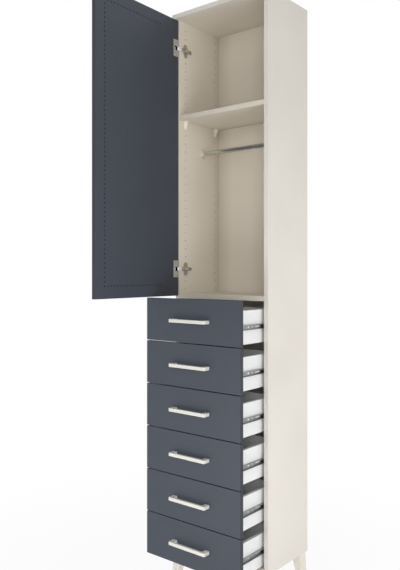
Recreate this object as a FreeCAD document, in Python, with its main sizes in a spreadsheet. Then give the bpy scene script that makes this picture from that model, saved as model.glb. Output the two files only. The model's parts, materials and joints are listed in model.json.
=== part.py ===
"""Chifforobe: a tall cabinet with a hanging space behind one door, over six drawers.

Millimetres, +Z up, front towards -Y. The origin is on the floor, at the centre of the front left foot's
sole. The door stands open and the drawers stand drawn out by the values named below.
"""
import FreeCAD, Part
import os
import re
import Sketcher

Vector = FreeCAD.Vector
doc = FreeCAD.newDocument("chifforobe")

# ---------------------------------------------------------------- driving sizes
SIZES = {
    # carcass
    "cabinet_width": 440, "carcass_depth": 268, "carcass_height": 2080, "board": 18, "nose": 22,
    "back_thickness": 3, "back_recess": 15, "back_groove": 6, "groove_clearance": 0.2,
    "dowel_diameter": 8, "dowel_in_face": 11, "dowel_in_end": 19, "dowel_inset": 45,
    "fit_clearance": 0.1, "board_softening": 0.6,
    # legs
    "leg_height": 150, "leg_top": 40, "leg_sole": 24, "leg_inset": 6, "leg_splay": 8,
    "leg_bolt_diameter": 8, "leg_bolt_in_leg": 36, "leg_bolt_in_board": 12,
    "leg_softening": 2,
    # fronts and the gaps round them
    "front_thickness": 16, "front_height": 157, "front_gap": 3, "end_gap": 2, "side_gap": 1, "rear_gap": 3,
    "front_softening": 1, "drawer_count": 6, "drawer_open": 143, "door_open": 88,
    # drawer boxes
    "box_height": 117, "box_depth": 245, "box_board": 12, "box_rise": 3,
    "bottom_thickness": 3, "bottom_rise": 10, "bottom_groove": 5,
    # slides
    "slide_gap": 13, "slide_height": 17, "slide_sheet": 1, "slide_depth": 11, "slide_length": 240,
    "slide_setback": 1, "slide_front": 2, "slide_clearance": 0.3, "retainer_wall": 1.2,
    "retainer_length": 96, "retainer_nose": 8, "slide_hole": 7, "slide_hole_at": 67,
    "slide_small_hole": 5, "slide_small_hole_at": 90, "slide_slot_from": 110, "slide_slot_length": 24,
    "slide_slot_width": 3.5,
    # handles
    "handle_centres": 150, "handle_depth": 28, "handle_bar": 9, "handle_post": 18, "handle_height": 12,
    "handle_bevel": 2.5, "handle_inner_bevel": 3, "handle_softening": 0.8, "handle_screw": 4,
    "handle_screw_play": 0.25, "handle_screw_grip": 10, "handle_screw_head": 8,
    "handle_screw_head_height": 2.4, "door_handle_inset": 34, "door_handle_height": 200,
    # door hinges
    "hinge_edge_offset": 7.5, "hinge_face_offset": 9.5, "hinge_holes": 2,
    "cup_edge": 16.5, "cup_bore": 26, "cup_depth": 13, "cup_wall": 0.8, "cup_floor": 0.8,
    "cup_mouth_reach": 15.5, "cup_mouth_height": 16.4,
    "flange_length": 66, "flange_width": 26, "flange_sheet": 1.2, "flange_corner": 2.5,
    "cup_screw_spacing": 48, "cup_screw": 3.5, "cup_screw_length": 9, "cup_screw_head": 6.5,
    "cup_screw_head_height": 1.4, "hinge_pin": 2, "hinge_pin_length": 13, "eye_wall": 0.9,
    "strap_sheet": 2, "strap_height": 15, "strap_reach": 12, "strap_length": 64, "hook_height": 8,
    "cover_depth": 5.5, "cover_start": 13, "cover_length": 48, "cover_height": 13, "arm_screw_at": 54,
    "arm_screw": 5, "arm_screw_head": 8, "arm_screw_head_height": 1.6, "wing_sheet": 1.5,
    "wing_width": 24, "wing_height": 52, "wing_corner": 5, "rib_start": 13, "rib_length": 61,
    "rib_height": 11,
    # shelf pin holes, shelf and hanging rail
    "pin_hole": 5, "pin_hole_depth": 11, "pin_pitch": 32, "pin_row_front": 37, "pin_row_back": 44,
    "pin_start": 17.5, "pin_end": 30, "shelf_hole": 20, "shelf_side_clearance": 1, "shelf_setback": 2,
    "support_rise": 25, "support_drop": 5, "support_plate": 2, "support_width": 14, "support_reach": 16,
    "support_rib": 2.4, "support_pin_length": 8,
    "rail_diameter": 18, "rail_wall": 1.2, "rail_setback": 143, "rail_below_shelf": 114,
    "bracket_plate": 2.5, "bracket_width": 20, "bracket_height": 38, "bracket_corner": 4,
    "socket_depth": 10, "socket_wall": 1.5, "rail_clearance": 0.2, "bracket_screw_spacing": 29,
    "wood_screw": 4, "wood_screw_length": 11, "wood_screw_head": 6, "wood_screw_head_height": 1.6,
    # line of drilled dots along the top, the free edge and the bottom of the door's inner face
    "dot_diameter": 6, "dot_depth": 1.2, "dot_pitch": 16, "dot_free_margin": 44, "dot_hinge_margin": 100,
    "dot_end_margin": 42,
}

sheet = doc.addObject("Spreadsheet::Sheet", "sizes")
for row, (name, value) in enumerate(SIZES.items(), start=1):
    sheet.set("A%d" % row, name.replace("_", " "))
    sheet.set("B%d" % row, str(value))
    sheet.setAlias("B%d" % row, name)
doc.recompute()

# ---------------------------------------------------------------- places worked out from the sizes
PLACES = {
    "left_x": "(leg_splay - leg_inset - leg_sole / 2)",
    "right_x": "(left_x + cabinet_width)",
    "nose_y": "left_x",
    "front_y": "(nose_y + nose)",
    "back_y": "(front_y + carcass_depth)",
    "inner_left": "(left_x + board)",
    "inner_right": "(right_x - board)",
    "inner_width": "(cabinet_width - 2 * board)",
    "inner_depth": "(carcass_depth - back_recess - back_thickness)",
    "back_face_y": "(front_y + inner_depth)",
    "panel_z": "(leg_height + board)",
    "side_height": "(carcass_height - 2 * board)",
    "roof_z": "(panel_z + side_height)",
    "drawer_pitch": "(front_height + front_gap)",
    "fronts_z": "(panel_z + end_gap)",
    "door_z": "(fronts_z + drawer_count * drawer_pitch)",
    "door_height": "(roof_z - end_gap - door_z)",
    "front_width": "(cabinet_width - 2 * side_gap)",
    "divider_z": "(door_z - front_gap / 2 - board / 2)",
    "divider_top": "(divider_z + board)",
    # shelf pin holes
    "pin_first_z": "(divider_top + pin_start)",
    "pin_count": "(floor((roof_z - pin_end - pin_first_z) / pin_pitch) + 1)",
    "pin_last_z": "(pin_first_z + (pin_count - 1) * pin_pitch)",
    "pin_front_y": "(front_y + pin_row_front)",
    "pin_back_y": "(back_y - pin_row_back)",
    "shelf_pin_z": "(pin_first_z + shelf_hole * pin_pitch)",
    "shelf_z": "(shelf_pin_z + support_rise)",
    "rail_y": "(front_y + rail_setback)",
    "rail_z": "(shelf_z - rail_below_shelf)",
    # hinges: each plate sits between two holes of the front row
    "hinge_low_z": "(pin_first_z + (hinge_holes + 0.5) * pin_pitch)",
    "hinge_high_z": "(pin_last_z - (hinge_holes + 0.5) * pin_pitch)",
    "hinge_x": "(left_x + side_gap + hinge_edge_offset)",
    "hinge_y": "(front_y - rear_gap - hinge_face_offset)",
    "axis_x": "(hinge_x - inner_left)",
    "axis_y": "(hinge_y - front_y)",
    "strap_x": "(axis_x + strap_reach)",
    "eye_radius": "(hinge_pin / 2 + fit_clearance + eye_wall)",
    "cup_x": "(cup_edge - hinge_edge_offset)",
    "cup_radius": "(cup_bore / 2 - fit_clearance)",
    "cup_floor_y": "(hinge_face_offset - cup_depth)",
    "door_left": "(0 - hinge_edge_offset)",
    "door_face": "(hinge_face_offset - front_thickness)",
    # drawers
    "box_left": "(board + slide_gap - side_gap)",
    "box_right": "(front_width - box_left)",
    "box_width": "(box_right - box_left)",
    "bottom_z": "(box_rise + bottom_rise)",
    "slide_z": "(box_rise + box_height / 2)",
    "drawer_y": "(front_y - rear_gap - drawer_open)",
    # cabinet side of a slide: a channel inside the drawer member, with the retainer between them
    "retainer_half": "(slide_height / 2 - slide_sheet - slide_clearance)",
    "retainer_reach": "(slide_gap - slide_sheet - slide_clearance)",
    "channel_half": "(retainer_half - retainer_wall)",
    "channel_reach": "(retainer_reach - retainer_wall)",
    # handles
    "handle_length": "(handle_centres + handle_post)",
    # dots
    "dot_columns": "floor((front_width - dot_free_margin - dot_hinge_margin) / dot_pitch)",
    "dot_rows": "floor((door_height - 2 * dot_end_margin) / dot_pitch)",
    "dot_right": "(door_left + front_width - dot_free_margin)",
    "dot_left": "(dot_right - dot_columns * dot_pitch)",
    "dot_low": "((door_height - dot_rows * dot_pitch) / 2)",
}


def formula(text):
    """The text of an expression on the sheet: places are written out, and sizes get the sheet's name."""
    text = str(text)
    for _ in range(12):
        wider = re.sub(r"[a-z_]+", lambda word: PLACES.get(word[0], word[0]), text)
        if wider == text:
            break
        text = wider
    return re.sub(r"[a-z_]+", lambda word: "sizes." + word[0] if word[0] in SIZES else word[0], text)


def bind(thing, **values):
    """Bind properties of an object to formulas. Two underscores stand for a dot."""
    for name, text in values.items():
        thing.setExpression(name.replace("__", "."), formula(text))


def place(thing, spot, turn=None, axis=Vector(0, 0, 1)):
    """Put an object at a spot of three formulas, turned by a formula's degrees about an axis."""
    for letter, text in zip("xyz", spot):
        bind(thing, **{"Placement__Base__" + letter: text})
    if turn is not None:
        thing.Placement = FreeCAD.Placement(Vector(), FreeCAD.Rotation(axis, 1))
        bind(thing, Placement__Rotation__Angle=turn)
    return thing


# ---------------------------------------------------------------- building blocks
nodes = []
parts_made = [0]


def fresh(word):
    """An internal name that is used once."""
    parts_made[0] += 1
    return "%s_%d" % (word, parts_made[0])


def node(thing, label):
    """Name a finished sub-part and keep it for the export."""
    thing.Label = label
    nodes.append(thing)
    return thing


def new_body(word):
    return doc.addObject("PartDesign::Body", fresh(word))


def sketch_on(body, role, shift):
    """An empty sketch on one of the body's origin planes, moved by three formulas."""
    sketch = body.newObject("Sketcher::SketchObject", fresh("sketch"))
    sketch.AttachmentSupport = [(next(f for f in body.Origin.OriginFeatures if f.Role == role), "")]
    sketch.MapMode = "FlatFace"
    for letter, text in zip("xyz", shift):
        bind(sketch, **{"AttachmentOffset__Base__" + letter: text})
    return sketch


def rectangle(body, role, shift, across, along):
    """A rectangle from the shifted corner, with its two sides bound."""
    sketch = sketch_on(body, role, shift)
    corners = [Vector(0, 0), Vector(10, 0), Vector(10, 10), Vector(0, 10)]
    for start in range(4):
        sketch.addGeometry(Part.LineSegment(corners[start], corners[(start + 1) % 4]))
    for start in range(4):
        sketch.addConstraint(Sketcher.Constraint("Coincident", start, 2, (start + 1) % 4, 1))
        sketch.addConstraint(Sketcher.Constraint("Vertical" if start % 2 else "Horizontal", start))
    sketch.addConstraint(Sketcher.Constraint("Coincident", 0, 1, -1, 1))
    wide = sketch.addConstraint(Sketcher.Constraint("DistanceX", 0, 1, 0, 2, 10.0))
    high = sketch.addConstraint(Sketcher.Constraint("DistanceY", 1, 1, 1, 2, 10.0))
    sketch.setExpression("Constraints[%d]" % wide, formula(across))
    sketch.setExpression("Constraints[%d]" % high, formula(along))
    return sketch


def circle(body, role, shift, diameter):
    """A circle about the shifted origin, with its diameter bound."""
    sketch = sketch_on(body, role, shift)
    sketch.addGeometry(Part.Circle(Vector(0, 0), Vector(0, 0, 1), 2.0))
    sketch.addConstraint(Sketcher.Constraint("Coincident", 0, 3, -1, 1))
    size = sketch.addConstraint(Sketcher.Constraint("Diameter", 0, 4.0))
    sketch.setExpression("Constraints[%d]" % size, formula(diameter))
    return sketch


def extrude(body, kind, sketch, length, backwards=False):
    """A Pad or Pocket of a sketch."""
    feature = body.newObject("PartDesign::" + kind, fresh(kind.lower()))
    feature.Profile = sketch
    feature.Reversed = backwards
    bind(feature, Length=length)
    return feature


def repeat(body, feature, direction, length, count):
    """A row of copies of a feature along one axis of the body."""
    row = body.newObject("PartDesign::LinearPattern", fresh("row"))
    row.Originals = [feature]
    row.Direction = (next(f for f in body.Origin.OriginFeatures if f.Role == direction), [""])
    bind(row, Length=length, Occurrences=count)
    body.Tip = row
    return row


def soften(body, radius, chosen=lambda edge: True):
    """Round the chosen edges of the body's last feature."""
    doc.recompute()
    last = body.Tip
    names = ["Edge%d" % number for number, edge in enumerate(last.Shape.Edges, start=1) if chosen(edge)]
    fillet = body.newObject("PartDesign::Fillet", fresh("fillet"))
    fillet.Base = (last, names)
    bind(fillet, Radius=radius)


def runs_along(letter):
    """Chooses the straight edges that run along X, Y or Z."""
    def chosen(edge):
        way = edge.tangentAt(edge.FirstParameter)
        return edge.Curve.TypeId == "Part::GeomLine" and abs(getattr(way, letter)) > 0.99
    return chosen


def board_body(word, width, depth, height):
    """A board from its lowest corner: a rectangle on the ground plane, padded upwards."""
    body = new_body(word)
    extrude(body, "Pad", rectangle(body, "XY_Plane", (0, 0, 0), width, depth), height)
    return body


def soften_front(body, letter):
    """Round the long front edges of a board."""
    soften(body, "board_softening", lambda edge: edge.CenterOfMass.y < 0.01 and runs_along(letter)(edge))


def bore_up(body, x, y, z, diameter, depth):
    """A round blind hole that opens at height z and goes up."""
    extrude(body, "Pocket", circle(body, "XY_Plane", (x, y, z), diameter), depth, backwards=True)


def bore_down(body, x, y, z, diameter, depth):
    extrude(body, "Pocket", circle(body, "XY_Plane", (x, y, z), diameter), depth)


def bore_across(body, x, y, z, diameter, depth, to_right):
    """A round blind hole along X that opens at x and goes right or left."""
    return extrude(body, "Pocket", circle(body, "YZ_Plane", (y, z, x), diameter), depth, backwards=to_right)


def bore_back(body, x, y, z, diameter, depth):
    """A round hole along Y that opens at y and goes towards the back."""
    return extrude(body, "Pocket", circle(body, "XZ_Plane", (x, z, "0 - (%s)" % y), diameter), depth)


def bore_front(body, x, y, z, diameter, depth):
    """A round hole along Y that opens at y and goes towards the front."""
    drill = circle(body, "XZ_Plane", (x, z, "0 - (%s)" % y), diameter)
    return extrude(body, "Pocket", drill, depth, backwards=True)


def groove(body, corner, across, along, depth):
    """A box cut from a board, from its lowest corner."""
    x, y, z = corner
    extrude(body, "Pocket", rectangle(body, "XY_Plane", (x, y, z), across, along), depth, backwards=True)


def solid_box(corner, size):
    box = doc.addObject("Part::Box", fresh("box"))
    bind(box, Length=size[0], Width=size[1], Height=size[2])
    return place(box, corner)


def solid_round(spot, radius, height, along="z"):
    """A cylinder from a spot, along +X, +Y or +Z."""
    rod = doc.addObject("Part::Cylinder", fresh("rod"))
    bind(rod, Radius=radius, Height=height)
    if along == "x":
        return place(rod, spot, 90, Vector(0, 1, 0))
    if along == "y":
        return place(rod, spot, "0 - 90", Vector(1, 0, 0))
    return place(rod, spot)


def join(*pieces):
    fuse = doc.addObject("Part::MultiFuse", fresh("join"))
    fuse.Shapes = list(pieces)
    fuse.Refine = True
    return fuse


def cut(base, tool):
    result = doc.addObject("Part::Cut", fresh("cut"))
    result.Base = base
    result.Tool = tool
    return result


def group(label, members):
    """Separate solids of one kind that share a node."""
    together = doc.addObject("Part::Compound", fresh("group"))
    together.Links = members
    return node(together, label)


def copy_of(piece, spot, turn=None, axis=Vector(0, 0, 1)):
    """The same piece again, somewhere else. The piece itself stays at the origin."""
    again = doc.addObject("App::Link", fresh("copy"))
    again.LinkedObject = piece
    return place(again, spot, turn, axis)


# ---------------------------------------------------------------- carcass boards
dowel_hole = "dowel_diameter + 2 * fit_clearance"
dowel_rows = ("dowel_inset", "inner_depth - dowel_inset")


def side_panel(label, is_left):
    """A side panel, with its inner face towards the middle of the cabinet."""
    body = board_body(label, "board", "carcass_depth", "side_height")
    soften_front(body, "z")
    face = "board" if is_left else "0"
    for row_y in ("pin_row_front", "carcass_depth - pin_row_back"):
        hole = bore_across(body, face, row_y, "pin_first_z - panel_z", "pin_hole", "pin_hole_depth",
                           to_right=not is_left)
        repeat(body, hole, "Z_Axis", "(pin_count - 1) * pin_pitch", "pin_count")
    groove(body, ("board - back_groove" if is_left else "0", "inner_depth - groove_clearance", "0"),
           "back_groove", "back_thickness + 2 * groove_clearance", "side_height")
    for row_y in dowel_rows:
        bore_up(body, "board / 2", row_y, "0", dowel_hole, "dowel_in_end + fit_clearance")
        bore_down(body, "board / 2", row_y, "side_height", dowel_hole, "dowel_in_end + fit_clearance")
        bore_across(body, face, row_y, "divider_z + board / 2 - panel_z", dowel_hole,
                    "dowel_in_face + fit_clearance", to_right=not is_left)
    for side in (" + ", " - "):
        bore_across(body, face, "rail_setback", "rail_z - panel_z" + side + "bracket_screw_spacing / 2",
                    "wood_screw + 2 * fit_clearance", "wood_screw_length - bracket_plate + fit_clearance",
                    to_right=not is_left)
    place(body, ("left_x" if is_left else "inner_right", "front_y", "panel_z"))
    return node(body, label)


side_panel("left_side_panel", True)
side_panel("right_side_panel", False)


def end_panel(label, is_top):
    """The top or bottom panel: its nose stands out in front of the sides."""
    body = board_body(label, "cabinet_width", "nose + carcass_depth", "board")
    soften(body, "board_softening", lambda edge: edge.CenterOfMass.y < 0.01)
    bore = bore_up if is_top else bore_down
    face = "0" if is_top else "board"
    for x in ("board / 2", "cabinet_width - board / 2"):
        for row_y in dowel_rows:
            bore(body, x, "nose + " + row_y, face, dowel_hole, "dowel_in_face + fit_clearance")
    groove(body, ("board - back_groove", "nose + inner_depth - groove_clearance",
                  "0" if is_top else "board - back_groove"),
           "inner_width + 2 * back_groove", "back_thickness + 2 * groove_clearance", "back_groove")
    if not is_top:
        for x in ("leg_inset + leg_top / 2", "cabinet_width - leg_inset - leg_top / 2"):
            for y in ("leg_inset + leg_top / 2", "nose + carcass_depth - leg_inset - leg_top / 2"):
                bore_up(body, x, y, "0", "leg_bolt_diameter + 2 * fit_clearance", "leg_bolt_in_board")
    place(body, ("left_x", "nose_y", "roof_z" if is_top else "leg_height"))
    return node(body, label)


end_panel("top_panel", True)
end_panel("bottom_panel", False)

divider = board_body("divider", "inner_width", "inner_depth - groove_clearance", "board")
soften_front(divider, "x")
for row_y in dowel_rows:
    bore_across(divider, "0", row_y, "board / 2", dowel_hole, "dowel_in_end + fit_clearance", to_right=True)
    bore_across(divider, "inner_width", row_y, "board / 2", dowel_hole, "dowel_in_end + fit_clearance",
                to_right=False)
place(divider, ("inner_left", "front_y", "divider_z"))
node(divider, "divider_panel")

back_play = "(back_groove - groove_clearance)"
back = board_body("back", "inner_width + 2 * %s" % back_play, "back_thickness",
                  "side_height + 2 * %s" % back_play)
place(back, ("inner_left - %s" % back_play, "back_face_y", "panel_z - %s" % back_play))
node(back, "back_panel")

# Dowels: upright ones join the sides to the top and bottom, level ones carry the divider.
dowel = doc.addObject("Part::Cylinder", "dowel")
bind(dowel, Radius="dowel_diameter / 2", Height="dowel_in_face + dowel_in_end")
dowels = []
for row_y in dowel_rows:
    y = "front_y + " + row_y
    for x in ("left_x + board / 2", "right_x - board / 2"):
        dowels.append(copy_of(dowel, (x, y, "roof_z - dowel_in_end")))
        dowels.append(copy_of(dowel, (x, y, "panel_z - dowel_in_face")))
    for x in ("inner_left - dowel_in_face", "inner_right - dowel_in_end"):
        dowels.append(copy_of(dowel, (x, y, "divider_z + board / 2"), 90, Vector(0, 1, 0)))
group("carcass_dowels", dowels)

# ---------------------------------------------------------------- legs
leg = new_body("leg")
leg_ends = [rectangle(leg, "XY_Plane", (0, 0, 0), "leg_top", "leg_top"),
            rectangle(leg, "XY_Plane", ("0 - leg_splay", "0 - leg_splay", "0 - leg_height"),
                      "leg_sole", "leg_sole")]
taper = leg.newObject("PartDesign::AdditiveLoft", "taper")
taper.Profile = leg_ends[0]
taper.Sections = [leg_ends[1]]
taper.Ruled = True
soften(leg, "leg_softening", lambda edge: abs(edge.tangentAt(edge.FirstParameter).z) > 0.9)
bore_down(leg, "leg_top / 2", "leg_top / 2", "0", "leg_bolt_diameter + 2 * fit_clearance",
          "leg_bolt_in_leg")

leg_bolt = doc.addObject("Part::Cylinder", "leg_bolt")
bind(leg_bolt, Radius="leg_bolt_diameter / 2", Height="leg_bolt_in_leg + leg_bolt_in_board")
legs, leg_bolts = [], []
for corner, (x, y) in enumerate((("left_x + leg_inset", "nose_y + leg_inset"),
                                 ("right_x - leg_inset", "nose_y + leg_inset"),
                                 ("right_x - leg_inset", "back_y - leg_inset"),
                                 ("left_x + leg_inset", "back_y - leg_inset"))):
    legs.append(copy_of(leg, (x, y, "leg_height"), 90 * corner))
    in_x = "leg_top / 2" if corner in (0, 3) else "0 - leg_top / 2"
    in_y = "leg_top / 2" if corner in (0, 1) else "0 - leg_top / 2"
    leg_bolts.append(copy_of(leg_bolt, (x + " + " + in_x, y + " + " + in_y,
                                        "leg_height - leg_bolt_in_leg")))
group("legs", legs)
group("leg_bolts", leg_bolts)

# ---------------------------------------------------------------- shelf and its supports
shelf = board_body("shelf", "inner_width - 2 * shelf_side_clearance", "inner_depth - 2 * shelf_setback",
                   "board")
soften_front(shelf, "x")
place(shelf, ("inner_left + shelf_side_clearance", "front_y + shelf_setback", "shelf_z"))
node(shelf, "adjustable_shelf")

# One support, from its pin's axis on the left panel's face: plate, shelf pad, tapered rib and pin.
rib = doc.addObject("Part::Wedge", "support_rib")
bind(rib, Xmin="0", X2min="0", Zmin="0 - support_rib / 2", Z2min="0 - support_rib / 2",
     Ymin="0 - support_drop", Xmax="support_plate", X2max="support_reach", Zmax="support_rib / 2",
     Z2max="support_rib / 2", Ymax="support_rise")
place(rib, (0, 0, 0), 90, Vector(1, 0, 0))
support = join(
    solid_box((0, "0 - support_width / 2", "0 - support_drop"),
              ("support_plate", "support_width", "support_rise + support_drop")),
    solid_box((0, "0 - support_width / 2", "support_rise - support_plate"),
              ("support_reach", "support_width", "support_plate")),
    rib,
    solid_round(("0 - support_pin_length", 0, 0), "pin_hole / 2 - fit_clearance",
                "support_pin_length + support_plate / 2", "x"))
supports = []
for y in ("pin_front_y", "pin_back_y"):
    supports.append(copy_of(support, ("inner_left", y, "shelf_pin_z")))
    supports.append(copy_of(support, ("inner_right", y, "shelf_pin_z"), 180))
group("shelf_supports", supports)

# ---------------------------------------------------------------- hanging rail
rail_start = ("inner_left + bracket_plate + rail_clearance", "rail_y", "rail_z")
rail_length = "inner_width - 2 * bracket_plate - 2 * rail_clearance"
node(cut(solid_round(rail_start, "rail_diameter / 2", rail_length, "x"),
         solid_round(rail_start, "rail_diameter / 2 - rail_wall", rail_length, "x")), "hanging_rail")

# One bracket, from the rail's axis on the left panel's face: a plate with two holes, and a socket.
bracket_plate = new_body("bracket_plate")
extrude(bracket_plate, "Pad",
        rectangle(bracket_plate, "YZ_Plane", ("0 - bracket_width / 2", "0 - bracket_height / 2", 0),
                  "bracket_width", "bracket_height"), "bracket_plate")
soften(bracket_plate, "bracket_corner", runs_along("x"))
for side in ("", "0 - "):
    bore_across(bracket_plate, 0, 0, side + "bracket_screw_spacing / 2",
                "wood_screw + 2 * fit_clearance", "bracket_plate", to_right=True)
bracket = cut(join(bracket_plate, solid_round((0, 0, 0), "rail_diameter / 2 + rail_clearance + socket_wall",
                                              "bracket_plate + socket_depth", "x")),
              solid_round(("bracket_plate", 0, 0), "rail_diameter / 2 + rail_clearance",
                          "2 * socket_depth", "x"))
group("rail_brackets", [copy_of(bracket, ("inner_left", "rail_y", "rail_z")),
                        copy_of(bracket, ("inner_right", "rail_y", "rail_z"), 180)])


def screw(diameter, length, head, head_height):
    """A screw from its tip up to its head, along +Z."""
    return join(solid_round((0, 0, 0), diameter + " / 2", "%s + %s" % (length, head_height)),
                solid_round((0, 0, length), head + " / 2", head_height))


# Wood screws of the rail brackets and of the hinge plates, heads towards the middle of the cabinet.
wood_screw = screw("wood_screw", "wood_screw_length", "wood_screw_head", "wood_screw_head_height")
wood_screws = []
for side in ("", "0 - "):
    z = "rail_z + %sbracket_screw_spacing / 2" % side
    wood_screws.append(copy_of(wood_screw, ("inner_left + bracket_plate - wood_screw_length", "rail_y", z),
                               90, Vector(0, 1, 0)))
    wood_screws.append(copy_of(wood_screw, ("inner_right - bracket_plate + wood_screw_length", "rail_y", z),
                               "0 - 90", Vector(0, 1, 0)))
    for hinge_z in ("hinge_low_z", "hinge_high_z"):
        wood_screws.append(copy_of(wood_screw, ("inner_left + wing_sheet - wood_screw_length", "pin_front_y",
                                                "%s + %spin_pitch / 2" % (hinge_z, side)),
                                   90, Vector(0, 1, 0)))
group("wood_screws", wood_screws)

# ---------------------------------------------------------------- fixed half of the door hinges
# Each piece is drawn from the point where the left panel's face meets the carcass front.
wings = new_body("wings")
extrude(wings, "Pad", rectangle(wings, "YZ_Plane", ("pin_row_front - wing_width / 2", "0 - wing_height / 2", 0),
                                "wing_width", "wing_height"), "wing_sheet")
soften(wings, "wing_corner", runs_along("x"))
hinge_plate = join(wings, solid_box((0, "rib_start", "0 - rib_height / 2"),
                                    ("strap_x", "rib_length", "rib_height")))
for side in ("", "0 - "):
    hinge_plate = cut(hinge_plate, solid_round(("0 - wing_sheet", "pin_row_front", side + "pin_pitch / 2"),
                                               "wood_screw / 2 + fit_clearance", "3 * wing_sheet", "x"))
hinge_plate = cut(hinge_plate, solid_round(("0 - wing_sheet", "arm_screw_at", 0),
                                           "arm_screw / 2 + fit_clearance", "2 * strap_reach", "x"))

eye_bottom = "0 - hook_height / 2"
hinge_arm = join(
    solid_box(("strap_x", "axis_y - strap_sheet / 2", "0 - strap_height / 2"),
              ("strap_sheet", "strap_length - axis_y + strap_sheet / 2", "strap_height")),
    solid_box(("axis_x", "axis_y - strap_sheet / 2", eye_bottom),
              ("strap_reach + strap_sheet / 2", "strap_sheet", "hook_height")),
    solid_box(("strap_x + strap_sheet / 2", "cover_start", "0 - cover_height / 2"),
              ("strap_sheet / 2 + cover_depth", "cover_length", "cover_height")),
    solid_round(("axis_x", "axis_y", eye_bottom), "eye_radius", "hook_height"))
hinge_arm = cut(hinge_arm, solid_round(("axis_x", "axis_y", eye_bottom),
                                       "hinge_pin / 2 + fit_clearance", "hook_height"))
hinge_arm = cut(hinge_arm, solid_round(("0", "arm_screw_at", 0), "arm_screw / 2 + fit_clearance",
                                       "2 * strap_reach", "x"))
arm_screw = screw("arm_screw", "(strap_x + strap_sheet + cover_depth)", "arm_screw_head",
                  "arm_screw_head_height")

hinge_places = [("inner_left", "front_y", z) for z in ("hinge_low_z", "hinge_high_z")]
group("hinge_mounting_plates", [copy_of(hinge_plate, spot) for spot in hinge_places])
group("hinge_arms", [copy_of(hinge_arm, spot) for spot in hinge_places])
group("hinge_arm_screws", [copy_of(arm_screw, (x, y + " + arm_screw_at", z), 90, Vector(0, 1, 0))
                           for x, y, z in hinge_places])


# ---------------------------------------------------------------- bridge handles
def bridge_handle():
    """A handle from the middle of its seat: the bar runs along X, and stands out towards -Y."""
    body = new_body("bridge_handle")
    outline = rectangle(body, "XY_Plane", ("0 - handle_length / 2", "0 - handle_depth", "0 - handle_height / 2"),
                        "handle_length", "handle_depth")
    extrude(body, "Pad", outline, "handle_height")
    gap = rectangle(body, "XY_Plane", ("0 - (handle_centres - handle_post) / 2", "handle_bar - handle_depth",
                                       "0 - handle_height / 2"),
                    "handle_centres - handle_post", "handle_depth")
    extrude(body, "Pocket", gap, "handle_height", backwards=True)
    for size, is_outer in (("handle_bevel", True), ("handle_inner_bevel", False)):
        doc.recompute()
        last = body.Tip
        front = min(vertex.Y for vertex in last.Shape.Vertexes)
        names = []
        for number, edge in enumerate(last.Shape.Edges, start=1):
            middle = edge.CenterOfMass
            on_front = abs(middle.y - front) < 0.01
            if runs_along("z")(edge) and on_front == is_outer and middle.y < -0.01:
                names.append("Edge%d" % number)
        bevel = body.newObject("PartDesign::Chamfer", fresh("bevel"))
        bevel.Base = (last, names)
        bind(bevel, Size=size)
    soften(body, "handle_softening", lambda edge: abs(edge.CenterOfMass.y) > 0.01)
    for side in ("", "0 - "):
        bore_front(body, side + "handle_centres / 2", 0, 0, "handle_screw + 2 * fit_clearance",
                   "handle_screw_grip + fit_clearance")
    return body


handle = bridge_handle()
handle_screw = screw("handle_screw", "(handle_screw_grip + front_thickness)", "handle_screw_head",
                     "handle_screw_head_height")
sunk_screw = screw("handle_screw", "(handle_screw_grip + front_thickness - handle_screw_head_height)",
                   "handle_screw_head", "handle_screw_head_height")


def front_holes(body, x, z, face_y, upright):
    """The two handle screw holes through a front, drilled from its outer face."""
    for side in (" + ", " - "):
        offset = side + "handle_centres / 2"
        spot = (x, face_y, z + offset) if upright else (x + offset, face_y, z)
        bore_back(body, *spot, "handle_screw + 2 * handle_screw_play", "front_thickness")


# ---------------------------------------------------------------- door
# Drawn closed, from the point of the hinge axis at the height of its lower edge, then swung open.
def on_door(thing):
    return place(thing, ("hinge_x", "hinge_y", "door_z"), "0 - door_open")


door = new_body("door")
extrude(door, "Pad", rectangle(door, "XY_Plane", ("door_left", "door_face", 0), "front_width",
                               "front_thickness"), "door_height")
soften(door, "front_softening")
door_handle_x = "door_left + front_width - door_handle_inset"
front_holes(door, door_handle_x, "door_handle_height", "door_face", upright=True)
for side in (" + ", " - "):
    bore_front(door, door_handle_x, "hinge_face_offset", "door_handle_height" + side + "handle_centres / 2",
               "handle_screw_head + 2 * fit_clearance", "handle_screw_head_height")
cup_places = ["%s - door_z" % z for z in ("hinge_low_z", "hinge_high_z")]
for z in cup_places:
    bore_front(door, "cup_x", "hinge_face_offset", z, "cup_bore", "cup_depth")
    for side in (" + ", " - "):
        bore_front(door, "cup_x", "hinge_face_offset", z + side + "cup_screw_spacing / 2",
                   "cup_screw + 2 * fit_clearance", "cup_screw_length + fit_clearance")
for z in ("dot_low", "dot_low + dot_rows * dot_pitch"):
    dot = bore_front(door, "dot_left", "hinge_face_offset", z, "dot_diameter", "dot_depth")
    repeat(door, dot, "X_Axis", "dot_columns * dot_pitch", "dot_columns + 1")
dot = bore_front(door, "dot_right", "hinge_face_offset", "dot_low + dot_pitch", "dot_diameter", "dot_depth")
repeat(door, dot, "Z_Axis", "(dot_rows - 2) * dot_pitch", "dot_rows - 1")
node(on_door(door), "door_panel")

door_handle_parts = [copy_of(handle, (door_handle_x, "door_face", "door_handle_height"), 90, Vector(0, 1, 0))]
for side in (" + ", " - "):
    spot = (door_handle_x, "door_face - handle_screw_grip", "door_handle_height" + side + "handle_centres / 2")
    door_handle_parts.append(copy_of(sunk_screw, spot, "0 - 90", Vector(1, 0, 0)))
on_door(group("door_handle", door_handle_parts))

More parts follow.
